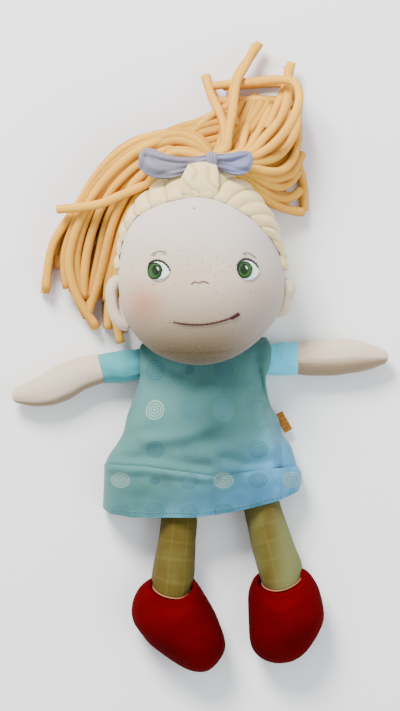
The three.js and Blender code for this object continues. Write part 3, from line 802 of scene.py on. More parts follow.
def face_height(x, y):
    """Height of the front of the head over a place in plan."""
    dx, dy = x - HEAD[0], y - HEAD[1]
    angle = math.atan2(dy, dx)
    reach = np.interp(angle, RIM_ANGLES[RIM_ORDER], RIM_REACH[RIM_ORDER], period=2 * math.pi)
    share = min(math.hypot(dx, dy) / reach, 1.0)
    height = HEAD[2] + HEAD_DEPTH * math.sqrt(max(1 - share ** (2 / 0.9), 0))
    if y < 50:
        gap = gap_to(CHIN_LINE, x, y)
        height -= 0.9 * math.exp(-(gap / 0.8) ** 2) - 0.25 * math.exp(-((gap - 2.2) / 1.2) ** 2)
    return height


def on_face(x, y, lift=0.0):
    """A point above the front of the head, with the surface's normal there."""
    e = 0.5
    slope = np.array([face_height(x - e, y) - face_height(x + e, y),
                      face_height(x, y - e) - face_height(x, y + e), 2 * e])
    normal = slope / np.linalg.norm(slope)
    return np.array([x, y, face_height(x, y)]) + normal * lift, normal


def face_line(places, count, lift):
    plan = smooth(places, count)
    pairs = [on_face(x, y, lift) for x, y in plan]
    return np.array([p for p, _ in pairs]), np.array([n for _, n in pairs])


def head_skin():
    rings = []
    for tilt in np.radians(np.concatenate([np.linspace(-89, 0, 26)[:-1], np.linspace(0, 89, 60)])):
        scale, rise = math.cos(tilt) ** 0.9, math.sin(tilt)
        if tilt < 0:
            scale, rise = math.cos(tilt) ** 0.8, -abs(rise) ** 0.95
        ring = [(HEAD[0] + x * scale, HEAD[1] + y * scale, HEAD[2] + HEAD_DEPTH * rise) for x, y in RIM]
        if tilt > 0:
            ring = [(x, y, face_height(x, y) if y < 50 else z) for x, y, z in ring]
        rings.append(ring)
    return np.array(rings)


def make_head(materials):
    shell = head_skin()
    # painted shade: depth along the chin seam's groove, which the face material darkens
    sewn = [[0.45 * math.exp(-((gap_to(CHIN_LINE, x, y) / 0.7) ** 2)) if y < 50 < HEAD[2] + z else 0.0
             for x, y, z in ring] for ring in shell]
    skin = Skin().grid(shell, wrap=True, caps=True, depth=np.array(sewn))
    settle(skin.build("head_skin", materials["face"]), "skin_velour", "head",
           "head_front_panel", "head_back_panel", "head_stuffing", pad=0.9)
    for side, line in EARS.items():
        path = smooth(line, 28)
        t = np.linspace(0, 1, 28)
        girth = 2.9 + 0.8 * np.sin(math.pi * t) + 0.5 * np.cos(2 * math.pi * t)
        ear = Skin().grid(tube_rows(path, girth, 18, flat=1.25), wrap=True, caps=True)
        low, high = path.min(0), path.max(0)
        sign = 1 if side == "left" else -1
        bowl = [(low + high) / 2 + [sign * (t * 8 - 7.5), 0, -0.4] for t in np.linspace(0, 1, 6)]
        wide = (high[1] - low[1]) / 2
        ear.grid(tube_rows(bowl, wide * np.array([1, 1, 0.96, 0.85, 0.6, 0.2]), 24, flat=0.3,
                           up=[np.array([0, 0, 1.0])] * 6),
                 wrap=True, caps=True)
        settle(ear.build(side + "_ear_stuffed", materials["skin"]), "skin_velour", "head", side + "_ear",
               pad=0.7)


EARS = {
    "right": [(-49, 77.5, 36), (-53.6, 76.4, 38), (-56, 71, 39), (-55.6, 65, 39), (-54.4, 58.5, 38),
              (-51, 52.5, 37), (-46.5, 50, 35)],
    "left": [(45.5, 75.6, 36), (48.8, 75, 38), (50.2, 71.4, 39), (48.5, 66.5, 38), (47.6, 62.5, 38),
             (45.4, 59.4, 37), (42, 58.6, 35)],
}


def thread(skin, places, radius, lift=0.25, slot=0, count=24, taper=True):
    path, normals = face_line(places, count, lift)
    girth = np.full(count, float(radius))
    if taper:
        girth *= np.clip(np.sin(np.linspace(0.25, math.pi - 0.25, count)) * 1.6, 0.3, 1)
    girth *= 1 + 0.14 * np.sin(np.arange(count) * 2.1)
    skin.grid(tube_rows(path, girth, 6, up=normals), wrap=True, caps=True, slot=slot)


def disc_of_thread(skin, x, y, inner, outer, pitch, radius, lift, slot, stretch=1.0):
    """A round patch stitched as a spiral."""
    turns = (outer - inner) / pitch
    count = int(20 * turns) + 8
    t = np.linspace(0, 1, count)
    reach = outer - (outer - inner) * t
    places = [(x + r * math.cos(a), y + stretch * r * math.sin(a)) for r,
              a in zip(reach, t * turns * 2 * math.pi)]
    pairs = [on_face(px, py, lift) for px, py in places]
    skin.grid(tube_rows([p for p, _ in pairs], radius, 6, up=[n for _, n in pairs]), wrap=True, caps=True,
              slot=slot)


EYES = {"right": (-29.4, 82.0), "left": (23.0, 82.6)}


def make_eyes(colours):
    for side, (x, y) in EYES.items():
        eye = Skin()
        white, lean = (9.0, 0.6) if side == "right" else (8.2, -0.4)
        for k in range(19):  # upright satin stitches of the white
            along = x - 0.4 + k * 0.48
            half = 5.9 * math.sqrt(max(1 - ((along - x) / white) ** 2, 0.02))
            thread(eye, [(along, y - half + lean), (along + 0.2, y), (along, y + half * 0.95)], 0.34, 0.1,
                   0, 10, False)
        disc_of_thread(eye, x, y, 3.1, 4.3, 0.46, 0.36, 0.56, 2, 1.14)
        disc_of_thread(eye, x, y, 0.4, 3.6, 0.56, 0.42, 0.6, 1, 1.14)
        pupil = -0.5 if side == "left" else 0.9
        disc_of_thread(eye, x + pupil, y + 0.5, 0.1, 2.3, 0.5, 0.38, 0.95, 2, 1.3)
        thread(eye, [(x + pupil + 0.5, y + 2.3), (x + pupil + 1.3, y + 1.4), (x + pupil + 1.7, y + 0.2)],
               0.55, 1.15, 3, 10)
        lash = [(x - 4.3, y + 1.4), (x - 2.6, y + 4.9), (x + 0.8, y + 6.3), (x + 4.6, y + 5.4),
                (x + 7.6, y + 2.6), (x + 9, y - 0.4)]
        if side == "left":
            lash = [(x - 4.6, y - 0.4), (x - 3.8, y + 3.6), (x - 0.8, y + 6.3), (x + 2.8, y + 6.1),
                    (x + 6.2, y + 3.8), (x + 8, y + 0.8)]
        thread(eye, lash, 0.56, 0.55, 4, 34)
        for place in smooth(lash, 13)[2:-1]:
            outward = (place - np.array([x + 1.5, y])) / np.linalg.norm(place - np.array([x + 1.5, y]))
            thread(eye, [place - outward * 0.4, place + outward * 0.9], 0.22, 0.5, 4, 5, False)
        under = [(x - 1.5, y - 5.4), (x + 2.6, y - 6), (x + 6.2, y - 4.6), (x + 8.4, y - 1.6),
                 (x + 8.6, y + 0.4)]
        thread(eye, under, 0.2, 0.45, 5, 20)
        settle(eye.build(side + "_eye_stitches", *colours), "eye_thread", "head", side + "_eye")


def make_features(brow, lips):
    lines = {
        "right_brow": ([[(-32.2, 91), (-29.4, 93), (-26, 93.9)], [(-27, 93.2), (-24.6, 93.6), (-22.4, 93)],
                        [(-31, 90.9), (-28.4, 92.3)], [(-25, 92.5), (-22.8, 92.2)]], brow, "brow_thread",
                       0.17),
        "left_brow": ([[(21.6, 92.2), (24.4, 92.9), (27, 92.4)], [(25.4, 91.8), (28, 91.4), (29.8, 89.9)],
                       [(22.2, 91.4), (24.4, 91.9)], [(27.4, 90.6), (29, 89.8)]], brow, "brow_thread",
                      0.17),
        "nose_stitch": ([[(-8.4, 74.2), (-7.4, 75.1), (-5.6, 75.6), (-4, 74.9)],
                         [(-4, 74.9), (-1.6, 75.9), (1, 75.3), (2.4, 74.4)]],
                        brow, "brow_thread", 0.32),
        "mouth_stitch": ([[(-19, 52.2), (-10.8, 50.9), (-1, 50.8), (7.5, 52.2), (14.9, 54.6), (19.6, 57)],
                          [(14, 54.4), (17, 56), (19.8, 57.8)], [(15, 53.9), (18, 55.4), (20.4, 56.9)]],
                         lips, "mouth_thread", 0.62),
    }
    for name, (strokes, material, slot, radius) in lines.items():
        stitches = Skin()
        for k, stroke in enumerate(strokes):
            thread(stitches, stroke, radius, 0.28 + 0.1 * k, 0,
                   44 if name == "mouth_stitch" and k == 0 else 14)
        settle(stitches.build(name + "_raised", material), slot, "head", name)


HAIRLINE = [(-51, 84), (-49.5, 96), (-45, 108), (-38, 115.5), (-25.5, 121.5), (-8.4, 125), (5, 124),
            (17, 119), (28, 112),
            (37, 103), (43, 94), (46, 84)]
LOCKS = 16


def rim_reach(angle):
    return np.interp(angle, RIM_ANGLES[RIM_ORDER], RIM_REACH[RIM_ORDER], period=2 * math.pi)


def head_at(angle, tilt):
    """A point on the head by its angle about the middle and its tilt: 0 at the rim, 90 degrees at the
    front."""
    scale = math.cos(tilt) ** (0.9 if tilt > 0 else 0.8)
    rise = math.sin(tilt) if tilt > 0 else -abs(math.sin(tilt)) ** 0.95
    reach = rim_reach(angle) * scale
    return HEAD + [reach * math.cos(angle), reach * math.sin(angle), HEAD_DEPTH * rise]


def tilt_over(plan):
    """The tilt of the front of the head over a place in plan, and its angle about the middle."""
    dx, dy = plan - HEAD[:2]
    angle = math.atan2(dy, dx)
    share = min(math.hypot(dx, dy) / rim_reach(angle), 1.0)
    return angle, math.acos(share ** (1 / 0.9))


def outward(point):
    normal = (np.asarray(point) - HEAD) / np.array([49.0**2, 57.0**2, HEAD_DEPTH**2])
    return normal / np.linalg.norm(normal)


PETAL = [(-4.6, 125.4, 65), (-4, 130, 65.2), (-3, 135, 64.4), (-2, 140, 62.4), (-1.6, 144, 60.4),
         (-1.6, 146, 58)]
PETAL_CREASES = [[(-14, 137), (-9, 131), (-3, 127)], [(9, 129), (3, 134), (2, 143)],
                 [(-8, 145), (-5, 140), (-7, 136)]]
CLOSE = np.array([0.0, 136.0])  # where the locks meet, behind the tie
NAPE_LOCKS = 14
PER_LOCK = 12


def back_of_head(plan):
    """The point on the back of the head behind a place in plan."""
    offset = np.asarray(plan) - HEAD[:2]
    share = min(np.linalg.norm(offset) / rim_reach(math.atan2(offset[1], offset[0])), 0.98)
    drop = math.sin(math.acos(share ** (1 / 0.8))) ** 0.95
    return np.array([plan[0], plan[1], HEAD[2] - HEAD_DEPTH * drop])


def towards_close(edge, shares):
    return [back_of_head(edge[:2] + (CLOSE - edge[:2]) * share) for share in shares]


def lock_paths():
    """The run of the hair from each place on its border to where it meets, in order round the head."""
    paths = []
    front = LOCKS * PER_LOCK
    for k, start in enumerate(smooth(HAIRLINE, front)):
        angle, tilt = tilt_over(start)
        swirl = math.radians(np.interp(k / front, [0, 0.1, 0.35, 0.6, 0.85, 1], [0, -5, -8, -15, -13, 0]))
        places = [head_at(angle + swirl * step, tilt * (1 - step)) for step in (0, 0.25, 0.5, 0.75, 1.0)]
        places.append(head_at(angle + swirl * 1.1, math.radians(-15)))
        edge = head_at(angle + swirl * 1.2, math.radians(-32))
        paths.append(places + [edge] + towards_close(edge, (0.3, 0.6, 0.85, 1.0)))
    nape = NAPE_LOCKS * PER_LOCK
    for k in range(nape):
        share = (k + 0.5) / nape
        turn = math.radians(-2.5 - 175.5 * share)
        edge = head_at(turn, math.radians(-6 - 34 * math.sin(math.pi * share) ** 0.6))
        paths.append([edge] + towards_close(edge, (0.15, 0.3, 0.5, 0.7, 0.85, 1.0)))
    return paths


def make_scalp(material):
    """A padded cap of jersey sewn into locks, from the hairline over the rim and up from the nape to
    the tie."""
    paths = lock_paths()
    count = len(paths)
    down = 46
    order = np.arange(count) / PER_LOCK
    crown = np.abs(np.sin(math.pi * (order + 0.1 + 0.22 * np.sin(6 * math.pi * order / order[-1])))) ** 0.45
    columns = []
    for k, places in enumerate(paths):
        dense = smooth(places, 240)
        run = np.concatenate([[0], np.cumsum(np.linalg.norm(np.diff(dense, axis=0), axis=1))])
        spots = 1.1 * (1 - crown[k]) + (run[-1] - 1.1) * np.linspace(0, 1, down) ** 1.25
        path = np.stack([np.interp(spots, run, dense[:, axis]) for axis in range(3)], axis=1)
        room = np.clip((run[-1] - spots) / 40, 0.1, 1)
        puff = (0.5 + (0.5 + 1.7 * room) * crown[k]) * np.sqrt(np.clip(spots / 3.0, 0.0, 1))
        puff += 0.35 * np.sin(spots * 0.35 + k // PER_LOCK * 2.4) * crown[k] * room - 0.3 * (spots < 0.3)
        for n, point in enumerate(path):
            normal = outward(point)
            path[n] = point + normal * puff[n]
            rise = 3.0 * math.exp(-(((point[0] + 2) / 9.5) ** 2)) * eased((point[1] - 130) / 13)
            path[n, 2] += rise * eased((point[2] - 38) / 8)
        path[:, 2] = np.maximum(path[:, 2], 0.4)
        columns.append(path)
    rows = np.array(columns).transpose(1, 0, 2)
    shade = np.broadcast_to(eased((0.6 - crown) / 0.5), rows.shape[:2])
    scalp = Skin().grid(rows, wrap=True, depth=shade)
    path = smooth(PETAL, 30)
    share = np.linspace(0, 1, 30)
    wide = np.interp(share, [0, 0.06, 0.3, 0.7, 0.93, 1], [8, 10.6, 11.6, 9.8, 8.4, 5.6])
    pad = lumps(tube_rows(path, wide, 56, flat=0.2, up=[np.array([0, -0.1, 1.0])] * 30), 7, 0.6, 6)
    sunk = np.zeros(pad.shape[:2])
    for line in PETAL_CREASES:
        dense = smooth(line, 10)
        sunk = np.maximum(sunk, [[math.exp(-((gap_to(dense, x, y) / 0.8) ** 2)) for x, y, _ in ring]
                                 for ring in pad])
    pad[:, :, 2] -= 1.1 * sunk * (pad[:, :, 2] > path[:, 2][:, None])
    # painted shade: depth in the petal's creases
    scalp.grid(pad, wrap=True, caps=True, depth=sunk * 0.5)
    settle(scalp.build("scalp_locks", material), "scalp_jersey", "head", "scalp_hair")


# ---- Tie and bow ----

RIGHT_LOOP = ([(2, 150.8), (-8, 149.6), (-17, 149.8), (-25, 151.8), (-31.5, 154.6), (-36.6, 154),
               (-38.8, 151.4)],
              [(2, 143.2), (-8, 140.6), (-17, 138), (-24, 137), (-31, 137.8), (-36.4, 140.6), (-39.6, 144)])
LEFT_LOOP = ([(6, 151.2), (12, 151.6), (18, 152.4), (23, 153), (26.6, 152.4), (28, 149.4)],
             [(6, 143), (12, 140.8), (17, 139.4), (22, 139.4), (25.6, 141.4), (27.8, 145.6)])
BOW_PINCHES = [smooth(line, 8) for line in (
    [(-3, 148), (-12, 146), (-24, 147), (-35, 150)], [(-3, 145), (-14, 142), (-26, 140)],
                                            [(-34, 153), (-36, 147), (-37, 142)],
    [(8, 147.5), (15, 147), (25, 150)], [(9, 145), (17, 142.6), (24, 142)],
)]
BOW_HEIGHT = 55.8


def bow_loop(top_edge, low_edge, height):
    """A folded ribbon: out along the front and back underneath, with gathers at the knot."""
    length, across = 40, 20
    top, low = smooth(top_edge, length), smooth(low_edge, length)
    rows = []
    for layer in (1, -1):
        order = range(length) if layer > 0 else range(length - 1, -1, -1)
        for k in order:
            out = k / (length - 1)
            puff = 3.4 * math.sin(math.pi * min(out * 0.93 + 0.07, 1)) ** 0.7
            row = []
            for n in range(across + 1):
                share = n / across
                bend = share * 17 + 1.6 * math.sin(share * 5 + layer) + out * 2.5
                gather = (0.95 * (1 - out) ** 1.2 + 0.2) * math.cos(bend)
                ripple = 0.9 * math.sin(out * 6 + share * 5) + 0.5 * math.cos(out * 11 - share * 3)
                place = (1 - share) * top[k] + share * low[k]
                belly = math.sin(math.pi * share) ** 0.6 * 1.4
                pinch = sum(1.3 * math.exp(-((gap_to(line, *place) / 1.1) ** 2)) for line in BOW_PINCHES)
                row.append((place[0], place[1], height + layer * (puff + belly - pinch) + gather + ripple
                            * out))
            rows.append(row)
    return np.array(rows)


def make_bow(material, elastic):
    for side, loop in (("right", RIGHT_LOOP), ("left", LEFT_LOOP)):
        piece = Skin().grid(bow_loop(*loop, BOW_HEIGHT)).build(side + "_ribbon_loop", material)
        thick(piece, 0.5, 0.0)
        settle(piece, "bow_ribbon", "head", side + "_bow_loop")
    centre = np.array([3.9, 147.0, BOW_HEIGHT])
    rows = []
    for turn in np.linspace(0, 2 * math.pi, 41):
        row = []
        for share in np.linspace(-1, 1, 17):
            pleat = 0.25 * math.cos(share * 9)
            reach = 1.0 - 0.18 * share**2
            row.append(centre + [share * 2.9, (5.3 * reach + pleat) * math.cos(turn),
                                 (4.6 * reach + pleat) * math.sin(turn)])
        rows.append(row)
    knot = Skin().grid(np.array(rows)).build("bow_knot_wrap", material)
    thick(knot, 0.6)
    settle(knot, "bow_ribbon", "head", "bow_knot")
    low, high = (np.array(c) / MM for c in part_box("hair_elastic"))
    centre, half = (low + high) / 2 - [0, 1.5, 5.0], (high - low) / 2
    turns = np.linspace(0, 2 * math.pi, 61)
    path = [centre + [(half[0] - 1.6) * math.cos(a), (half[1] - 1.6) * math.sin(a),
                      -(half[2] - 1.6) * math.sin(a)]
            for a in turns]
    band = Skin().grid(tube_rows(path, 1.5 + 0.12 * np.cos(turns * 30), 10), wrap=True)
    settle(band.build("elastic_band", elastic), "hair_elastic", "head", "hair_elastic")


# ---- Dress ----

# y, right edge, left edge, height of the side seam, height of the top, from the neck down.
BODICE = [
    (43, -33, 36.4, 9, 11.4), (38, -38.2, 38.8, 17, 20), (33, -38.4, 39, 19.4, 23), (26, -38.4, 38, 20, 26),
          (20, -38.4, 36, 18, 28.5),
    (12, -40.6, 36.4, 12.5, 31.5),
    (2, -44.2, 39, 11, 37), (-5, -46.6, 43.4, 9.6, 41), (-14, -48.8, 45.8, 8, 43.4),
          (-21, -52.6, 50.8, 7, 43.4), (-28, -57.4, 53.2, 6.3, 41.6),
    (-34, -60, 54.6, 5.8, 39),
]
SKIRT = [
    (0, -60, 54.6, 5.8, 39.2), (0.3, -60.2, 57.2, 5.4, 36.5), (0.65, -60.6, 57.4, 4.8, 32.6),
         (1, -61, 55.8, 4.2, 29.4),
]
HEM = [(-62, -58.6), (-56.4, -62.3), (-43.7, -64), (-26.9, -64.4), (-5.9, -64), (6.8, -62.3), (23.6, -59.3),
       (40.4, -55),
       (49, -52.2), (56.4, -48.6)]
SKIRT_SPLIT = 7.0
ARCH = 0.6


def fold_top(x):
    """Where the skirt's top fold lies, in plan."""
    return np.interp(x, [-60, -35, -15, 1, 12, 30, 55], [-32.9, -34, -36.8, -39.2, -38.6, -36, -33.8])


def hem_edge(x):
    return np.interp(x, [p[0] for p in HEM], [p[1] for p in HEM])


CREASES = [  # a line in plan, its height above the cloth (or depth) and its width
    ([(-34, -18), (-20, -16), (-10, -14), (0, -10)], 2.2, 3.6),
    ([(-36, -25), (-20, -24), (-4, -20), (8, -18)], -2.4, 5.0),
    ([(-48, -28), (-30, -29), (-12, -31), (2, -33)], -1.8, 3.4),
    ([(-24, 14), (-21, 5), (-16, -4), (-10, -8)], -2.6, 6.5),
    ([(4, 14), (0, 4), (4, -6)], 1.6, 6.0),
    ([(34, 14), (30, 6), (31, -4), (34, -12)], -3.0, 4.2),
    ([(32, 24), (35, 12), (37.5, 2), (42, -10), (44.8, -20), (44, -38)], -3.2, 2.3),
    ([(33, 4), (35, -8), (39.5, -17), (41, -26), (40, -37)], 2.2, 2.8),
    ([(49, -16), (49, -26), (48, -34)], -1.4, 3.0),
    ([(31, 31), (29, 25), (31, 19)], -1.6, 3.4),
    ([(-34, 35), (-28, 27), (-16, 22)], -2.0, 4.0),
    ([(-50, -10), (-38, -8), (-30, -2)], 1.6, 4.0),
    ([(8, 8), (16, -2), (22, -16)], 1.6, 5.5),
    ([(-36, 20), (-31, 10), (-34, 0)], -1.4, 3.6),
    ([(12, -28), (24, -31), (38, -31)], -2.2, 4.0),
]
CREASE_LINES = [(smooth(line, 14), lift, width) for line, lift, width in CREASES]
SKIRT_CREASES = [
    ([(-44, -38), (-43, -50), (-44, -62)], 1.4, 4.0), ([(-24, -42), (-21, -52), (-23, -62)], -1.6, 4.4),
    ([(7, -40), (7, -52), (7, -63)], -1.6, 3.0), ([(26, -40), (28, -48), (27, -58)], 1.6, 4.0),
    ([(43, -36), (45, -44), (44, -53)], 2.6, 3.0), ([(50, -38), (51, -46), (49, -51)], -1.8, 2.6),
    ([(-10, -44), (-8, -54), (-9, -63)], 1.2, 4.0),
]
SKIRT_LINES = [(smooth(line, 14), lift, width) for line, lift, width in SKIRT_CREASES]


def folds(lines, x, y):
    total = 1.3 * noise.noise(Vector((x / 17, y / 17, 3.3))) + 0.35 * noise.noise(Vector((x / 6, y / 6,
            8.1)))
    for line, lift, width in lines:
        gap = gap_to(line, x, y)
        if gap < 3 * width:
            total += lift * math.exp(-((gap / width) ** 2))
    return total


PRINT_LEFT = -30.0


RINGS_START = 24.0
UPPER_ROW = 24.0
CLOSER_BELOW = -22.0  # the rows of rings lie closer together below here
CLOSER_ROW = 18.5


def print_at(x, y):
    """Where a place falls in the rows and columns of printed rings."""
    row = (RINGS_START - max(y, CLOSER_BELOW)) / UPPER_ROW
    if y <= CLOSER_BELOW:
        row += (CLOSER_BELOW - y) / CLOSER_ROW
    return ((x - PRINT_LEFT) / PRINT_COLUMN, row)


def cloth_grid(stations, place, across, down, lines, lift=0.0, span=(0.0, math.pi)):
    """An arch of cloth; place turns a station and a share of the way across into plan coordinates."""
    table = smooth(stations, down)
    rows = []
    for station in table:
        row = []
        for turn in np.linspace(*span, across):
            mid, half = (station[1] + station[2]) / 2, (station[2] - station[1]) / 2
            x = mid - half * math.cos(turn)
            y = place(station[0], x)
            soft = math.sin(turn) ** ARCH if 0 < turn < math.pi else 0
            z = station[3] + (station[4] - station[3]) * soft
            z += (folds(lines, x, y) + lift) * min(1, math.sin(turn) * 3 + 0.15)
            row.append((x, y, z))
        rows.append(row)
    return np.array(rows)


def print_uvs(piece):
    layer = piece.data.uv_layers.active.data
    points = piece.data.vertices
    for polygon in piece.data.polygons:
        for index in polygon.loop_indices:
            x, y, _ = points[piece.data.loops[index].vertex_index].co / MM
            layer[index].uv = print_at(x, y)


def stitches(skin, path, spacing, length, radius):
    """Short raised stitches along a path in space, in the piece's second material."""
    total = float(np.linalg.norm(np.diff(path, axis=0), axis=1).sum())
    dense = smooth(path, max(8, int(total * 4)))
    each = total / max(1, int(total / spacing))
    run = np.linspace(0, total, len(dense))
    for start in np.arange(each * 0.2, total - length, each):
        spots = np.linspace(start, start + length, 4)
        line = np.column_stack([np.interp(spots, run, dense[:, k]) for k in range(3)])
        line[0, 2] -= 0.3
        line[-1, 2] -= 0.3
        skin.grid(tube_rows(line, radius, 5), wrap=True, caps=True, slot=1)


def make_dress(cloth, seam_thread):
    def bodice_place(y, x):
        last = BODICE[-1][0]
        share = np.clip((y - 10) / (last - 10), 0, 1)
        return y + share * (fold_top(x) - 0.9 - last)

    def skirt_place(share, x):
        return (1 - share) * fold_top(x) + share * hem_edge(x)

    rows = cloth_grid(BODICE, bodice_place, 111, 78, CREASE_LINES)
    rows[-2:, :, 2] -= 0.7
    front = Skin().grid(rows)
    stitches(front, rows[2, 2:-2] + [0, 0, 0.45], 1.9, 1.2, 0.16)
    for edge in (1, -2):
        stitches(front, rows[1:30, edge] + [0, 0, 0.35], 1.9, 1.2, 0.16)
    piece = front.build("dress_bodice_cloth", cloth, seam_thread)
    thick(piece, 0.7)
    print_uvs(piece)
    settle(piece, "dress_cotton", "torso", "dress_front")

    def split(side):
        mid, half = (SKIRT[0][1] + SKIRT[0][2]) / 2, (SKIRT[0][2] - SKIRT[0][1]) / 2
        seam = math.acos((mid - SKIRT_SPLIT) / half)
        return (0.0, seam + 0.02) if side == "right" else (seam - 0.02, math.pi)

    for side in SIDES:
        span = split(side)
        count = 68 if side == "right" else 58
        rows = cloth_grid(SKIRT, skirt_place, count, 34, SKIRT_LINES, 0.0 if side == "right" else -0.12,
                          span)
        rise = np.array([0.5, 1.3, 1.7, 1.6, 1.3, 0.9, 0.5, 0.2] + [0.0] * 26)
        rows[:, :, 2] += rise[:, None] * (1 - eased((rows[:, :, 0] + 4) / 16))
        half_skirt = Skin().grid(rows)
        stitches(half_skirt, rows[-4] + [0, 0, 0.3], 2.4, 1.0, 0.12)
        piece = half_skirt.build(side + "_skirt_cloth", cloth, seam_thread)
        thick(piece, 0.8)
        print_uvs(piece)
        settle(piece, "dress_cotton", "torso", side + "_skirt_front")
        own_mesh(piece)

    back_rows = []
    for station in smooth([(y, r, l, z) for y, r, l, z, _ in BODICE[:-1]]
                          + [(-34, -60, 54.6, 6), (-45, -60.2, 57.3, 5.2),
                                                                           (-60, -61, 55.8, 4.2)], 64):
        row = []
        for share in np.linspace(-1, 1, 65):
            mid, half = (station[1] + station[2]) / 2, (station[2] - station[1]) / 2
            x = mid + half * share
            y = station[0]
            if y < -34:
                y = -34 + (y + 34) / 26 * (-34 - hem_edge(x)) * 0.97
            rise = eased((abs(share) - 0.74) / 0.26)
            wave = 0.25 + 0.2 * math.sin(x * 0.3 + y * 0.11)
            row.append((x, y, 0.55 + wave + (station[3] - 1.0) * rise))
        back_rows.append(row)
    back = Skin().grid(np.array(back_rows)[:, ::-1])
    piece = back.build("dress_back_cloth", cloth)
    thick(piece, 0.5)
    print_uvs(piece)
    settle(piece, "dress_cotton", "torso", "dress_back")


# ---- Torso, arms and legs ----

TORSO = [(-42, 0, 24, 3.2), (-39, 0, 31, 4.2), (-30, 0, 34, 7.2), (-10, 0, 34, 13.5), (8, 0, 35, 18),
         (22, 0, 34, 18.5),
         (29, 0, 30, 15), (32, 0, 20, 8)]


SEAM_SINK = 0.09  # how far a seam is pulled in, as a share of the limb's half width
SEAM_SPREAD = 0.07  # radians around the limb
PUFF_RISE = 0.02  # the cloth swells a little on both sides of a seam
PUFF_APART = 0.2
PUFF_SPREAD = 0.1
LEAST_HALF_WIDTH = 0.3


def loft(stations, heights, around, seam=()):
    """Round rings from (x, y, half width) stations in plan with (middle, half depth) heights."""
    plan = np.asarray(stations, float)
    along = np.gradient(plan[:, :2], axis=0)
    along /= np.linalg.norm(along, axis=1)[:, None]
    turns = 2 * np.pi * np.arange(around) / around
    groove = np.ones(around)
    for place in seam:
        apart = np.angle(np.exp(1j * (turns - math.radians(place))))
        groove -= SEAM_SINK * np.exp(-((apart / SEAM_SPREAD) ** 2))
        groove += PUFF_RISE * np.exp(-(((np.abs(apart) - PUFF_APART) / PUFF_SPREAD) ** 2))
    across, up = np.cos(turns) * groove, np.sin(turns) * groove
    rows = []
    for (x, y, half), (middle, deep), (run_x, run_y) in zip(plan, heights, along):
        rows.append(np.stack([x - run_y * half * across, y + run_x * half * across, middle + deep * up],
                             axis=1))
    return np.array(rows)


def dense_loft(stations, heights, count, around, **more):
    table = smooth([tuple(s) + tuple(h) for s, h in zip(stations, heights)], count)
    table[:, [2, 4]] = np.maximum(table[:, [2, 4]], LEAST_HALF_WIDTH)
    return loft(table[:, :3], table[:, 3:], around, **more)


ARMS = {
    "right": {
        "sleeve": [(-33, 29, 7.6), (-40, 27.4, 9.2), (-48, 26, 9.6), (-56, 25.4, 9.1), (-61, 24.9, 8.9),
                   (-62.6, 24.6, 8.7)],
        "hand": [(-58, 25.2, 7.9), (-61.5, 24.9, 8.5), (-66, 24, 9.1), (-72, 22.4, 9.6), (-79, 19.8, 10.3),
                 (-86.4, 15.9, 10.9),
                 (-94, 12.4, 10), (-102.6, 10, 8.4), (-109.4, 8.9, 6.4), (-113.4, 7.9, 4.6),
                 (-115.6, 7.3, 2.9), (-116.4, 7.1, 1)],
    },
    "left": {
        "sleeve": [(31, 29, 7.8), (38, 29.8, 9.4), (45, 30.4, 10), (50, 30.5, 9.9), (54.4, 30.6, 9.7),
                   (55.8, 30.6, 9.5)],
        "hand": [(51.5, 30.6, 8.8), (54.6, 30.6, 9.3), (60, 30.7, 10.1), (67, 30.9, 10.5),
                 (80.6, 31.3, 10.6), (91.3, 32, 9.7),
                 (98.6, 32, 8), (104.4, 31.8, 5.9), (107.8, 31.4, 4.3), (109.6, 31.1, 2.8), (110.3, 31, 1)],
    },
}
PIVOTS = {"right": (-47, 27), "left": (46, 30)}
ARM_TURN = {"right": 193.0, "left": 3.0}
ARM_HEIGHT = 9.9
SEAM_TURN = {"right": 41.0, "left": 104.0}  # where the lower seam runs round each arm, in degrees


def ahead(start, degrees, run, height):
    """A point some way along a limb from its pivot, in metres."""
    a = math.radians(degrees)
    return ((start[0] + run * math.cos(a)) * MM, (start[1] + run * math.sin(a)) * MM, height * MM)


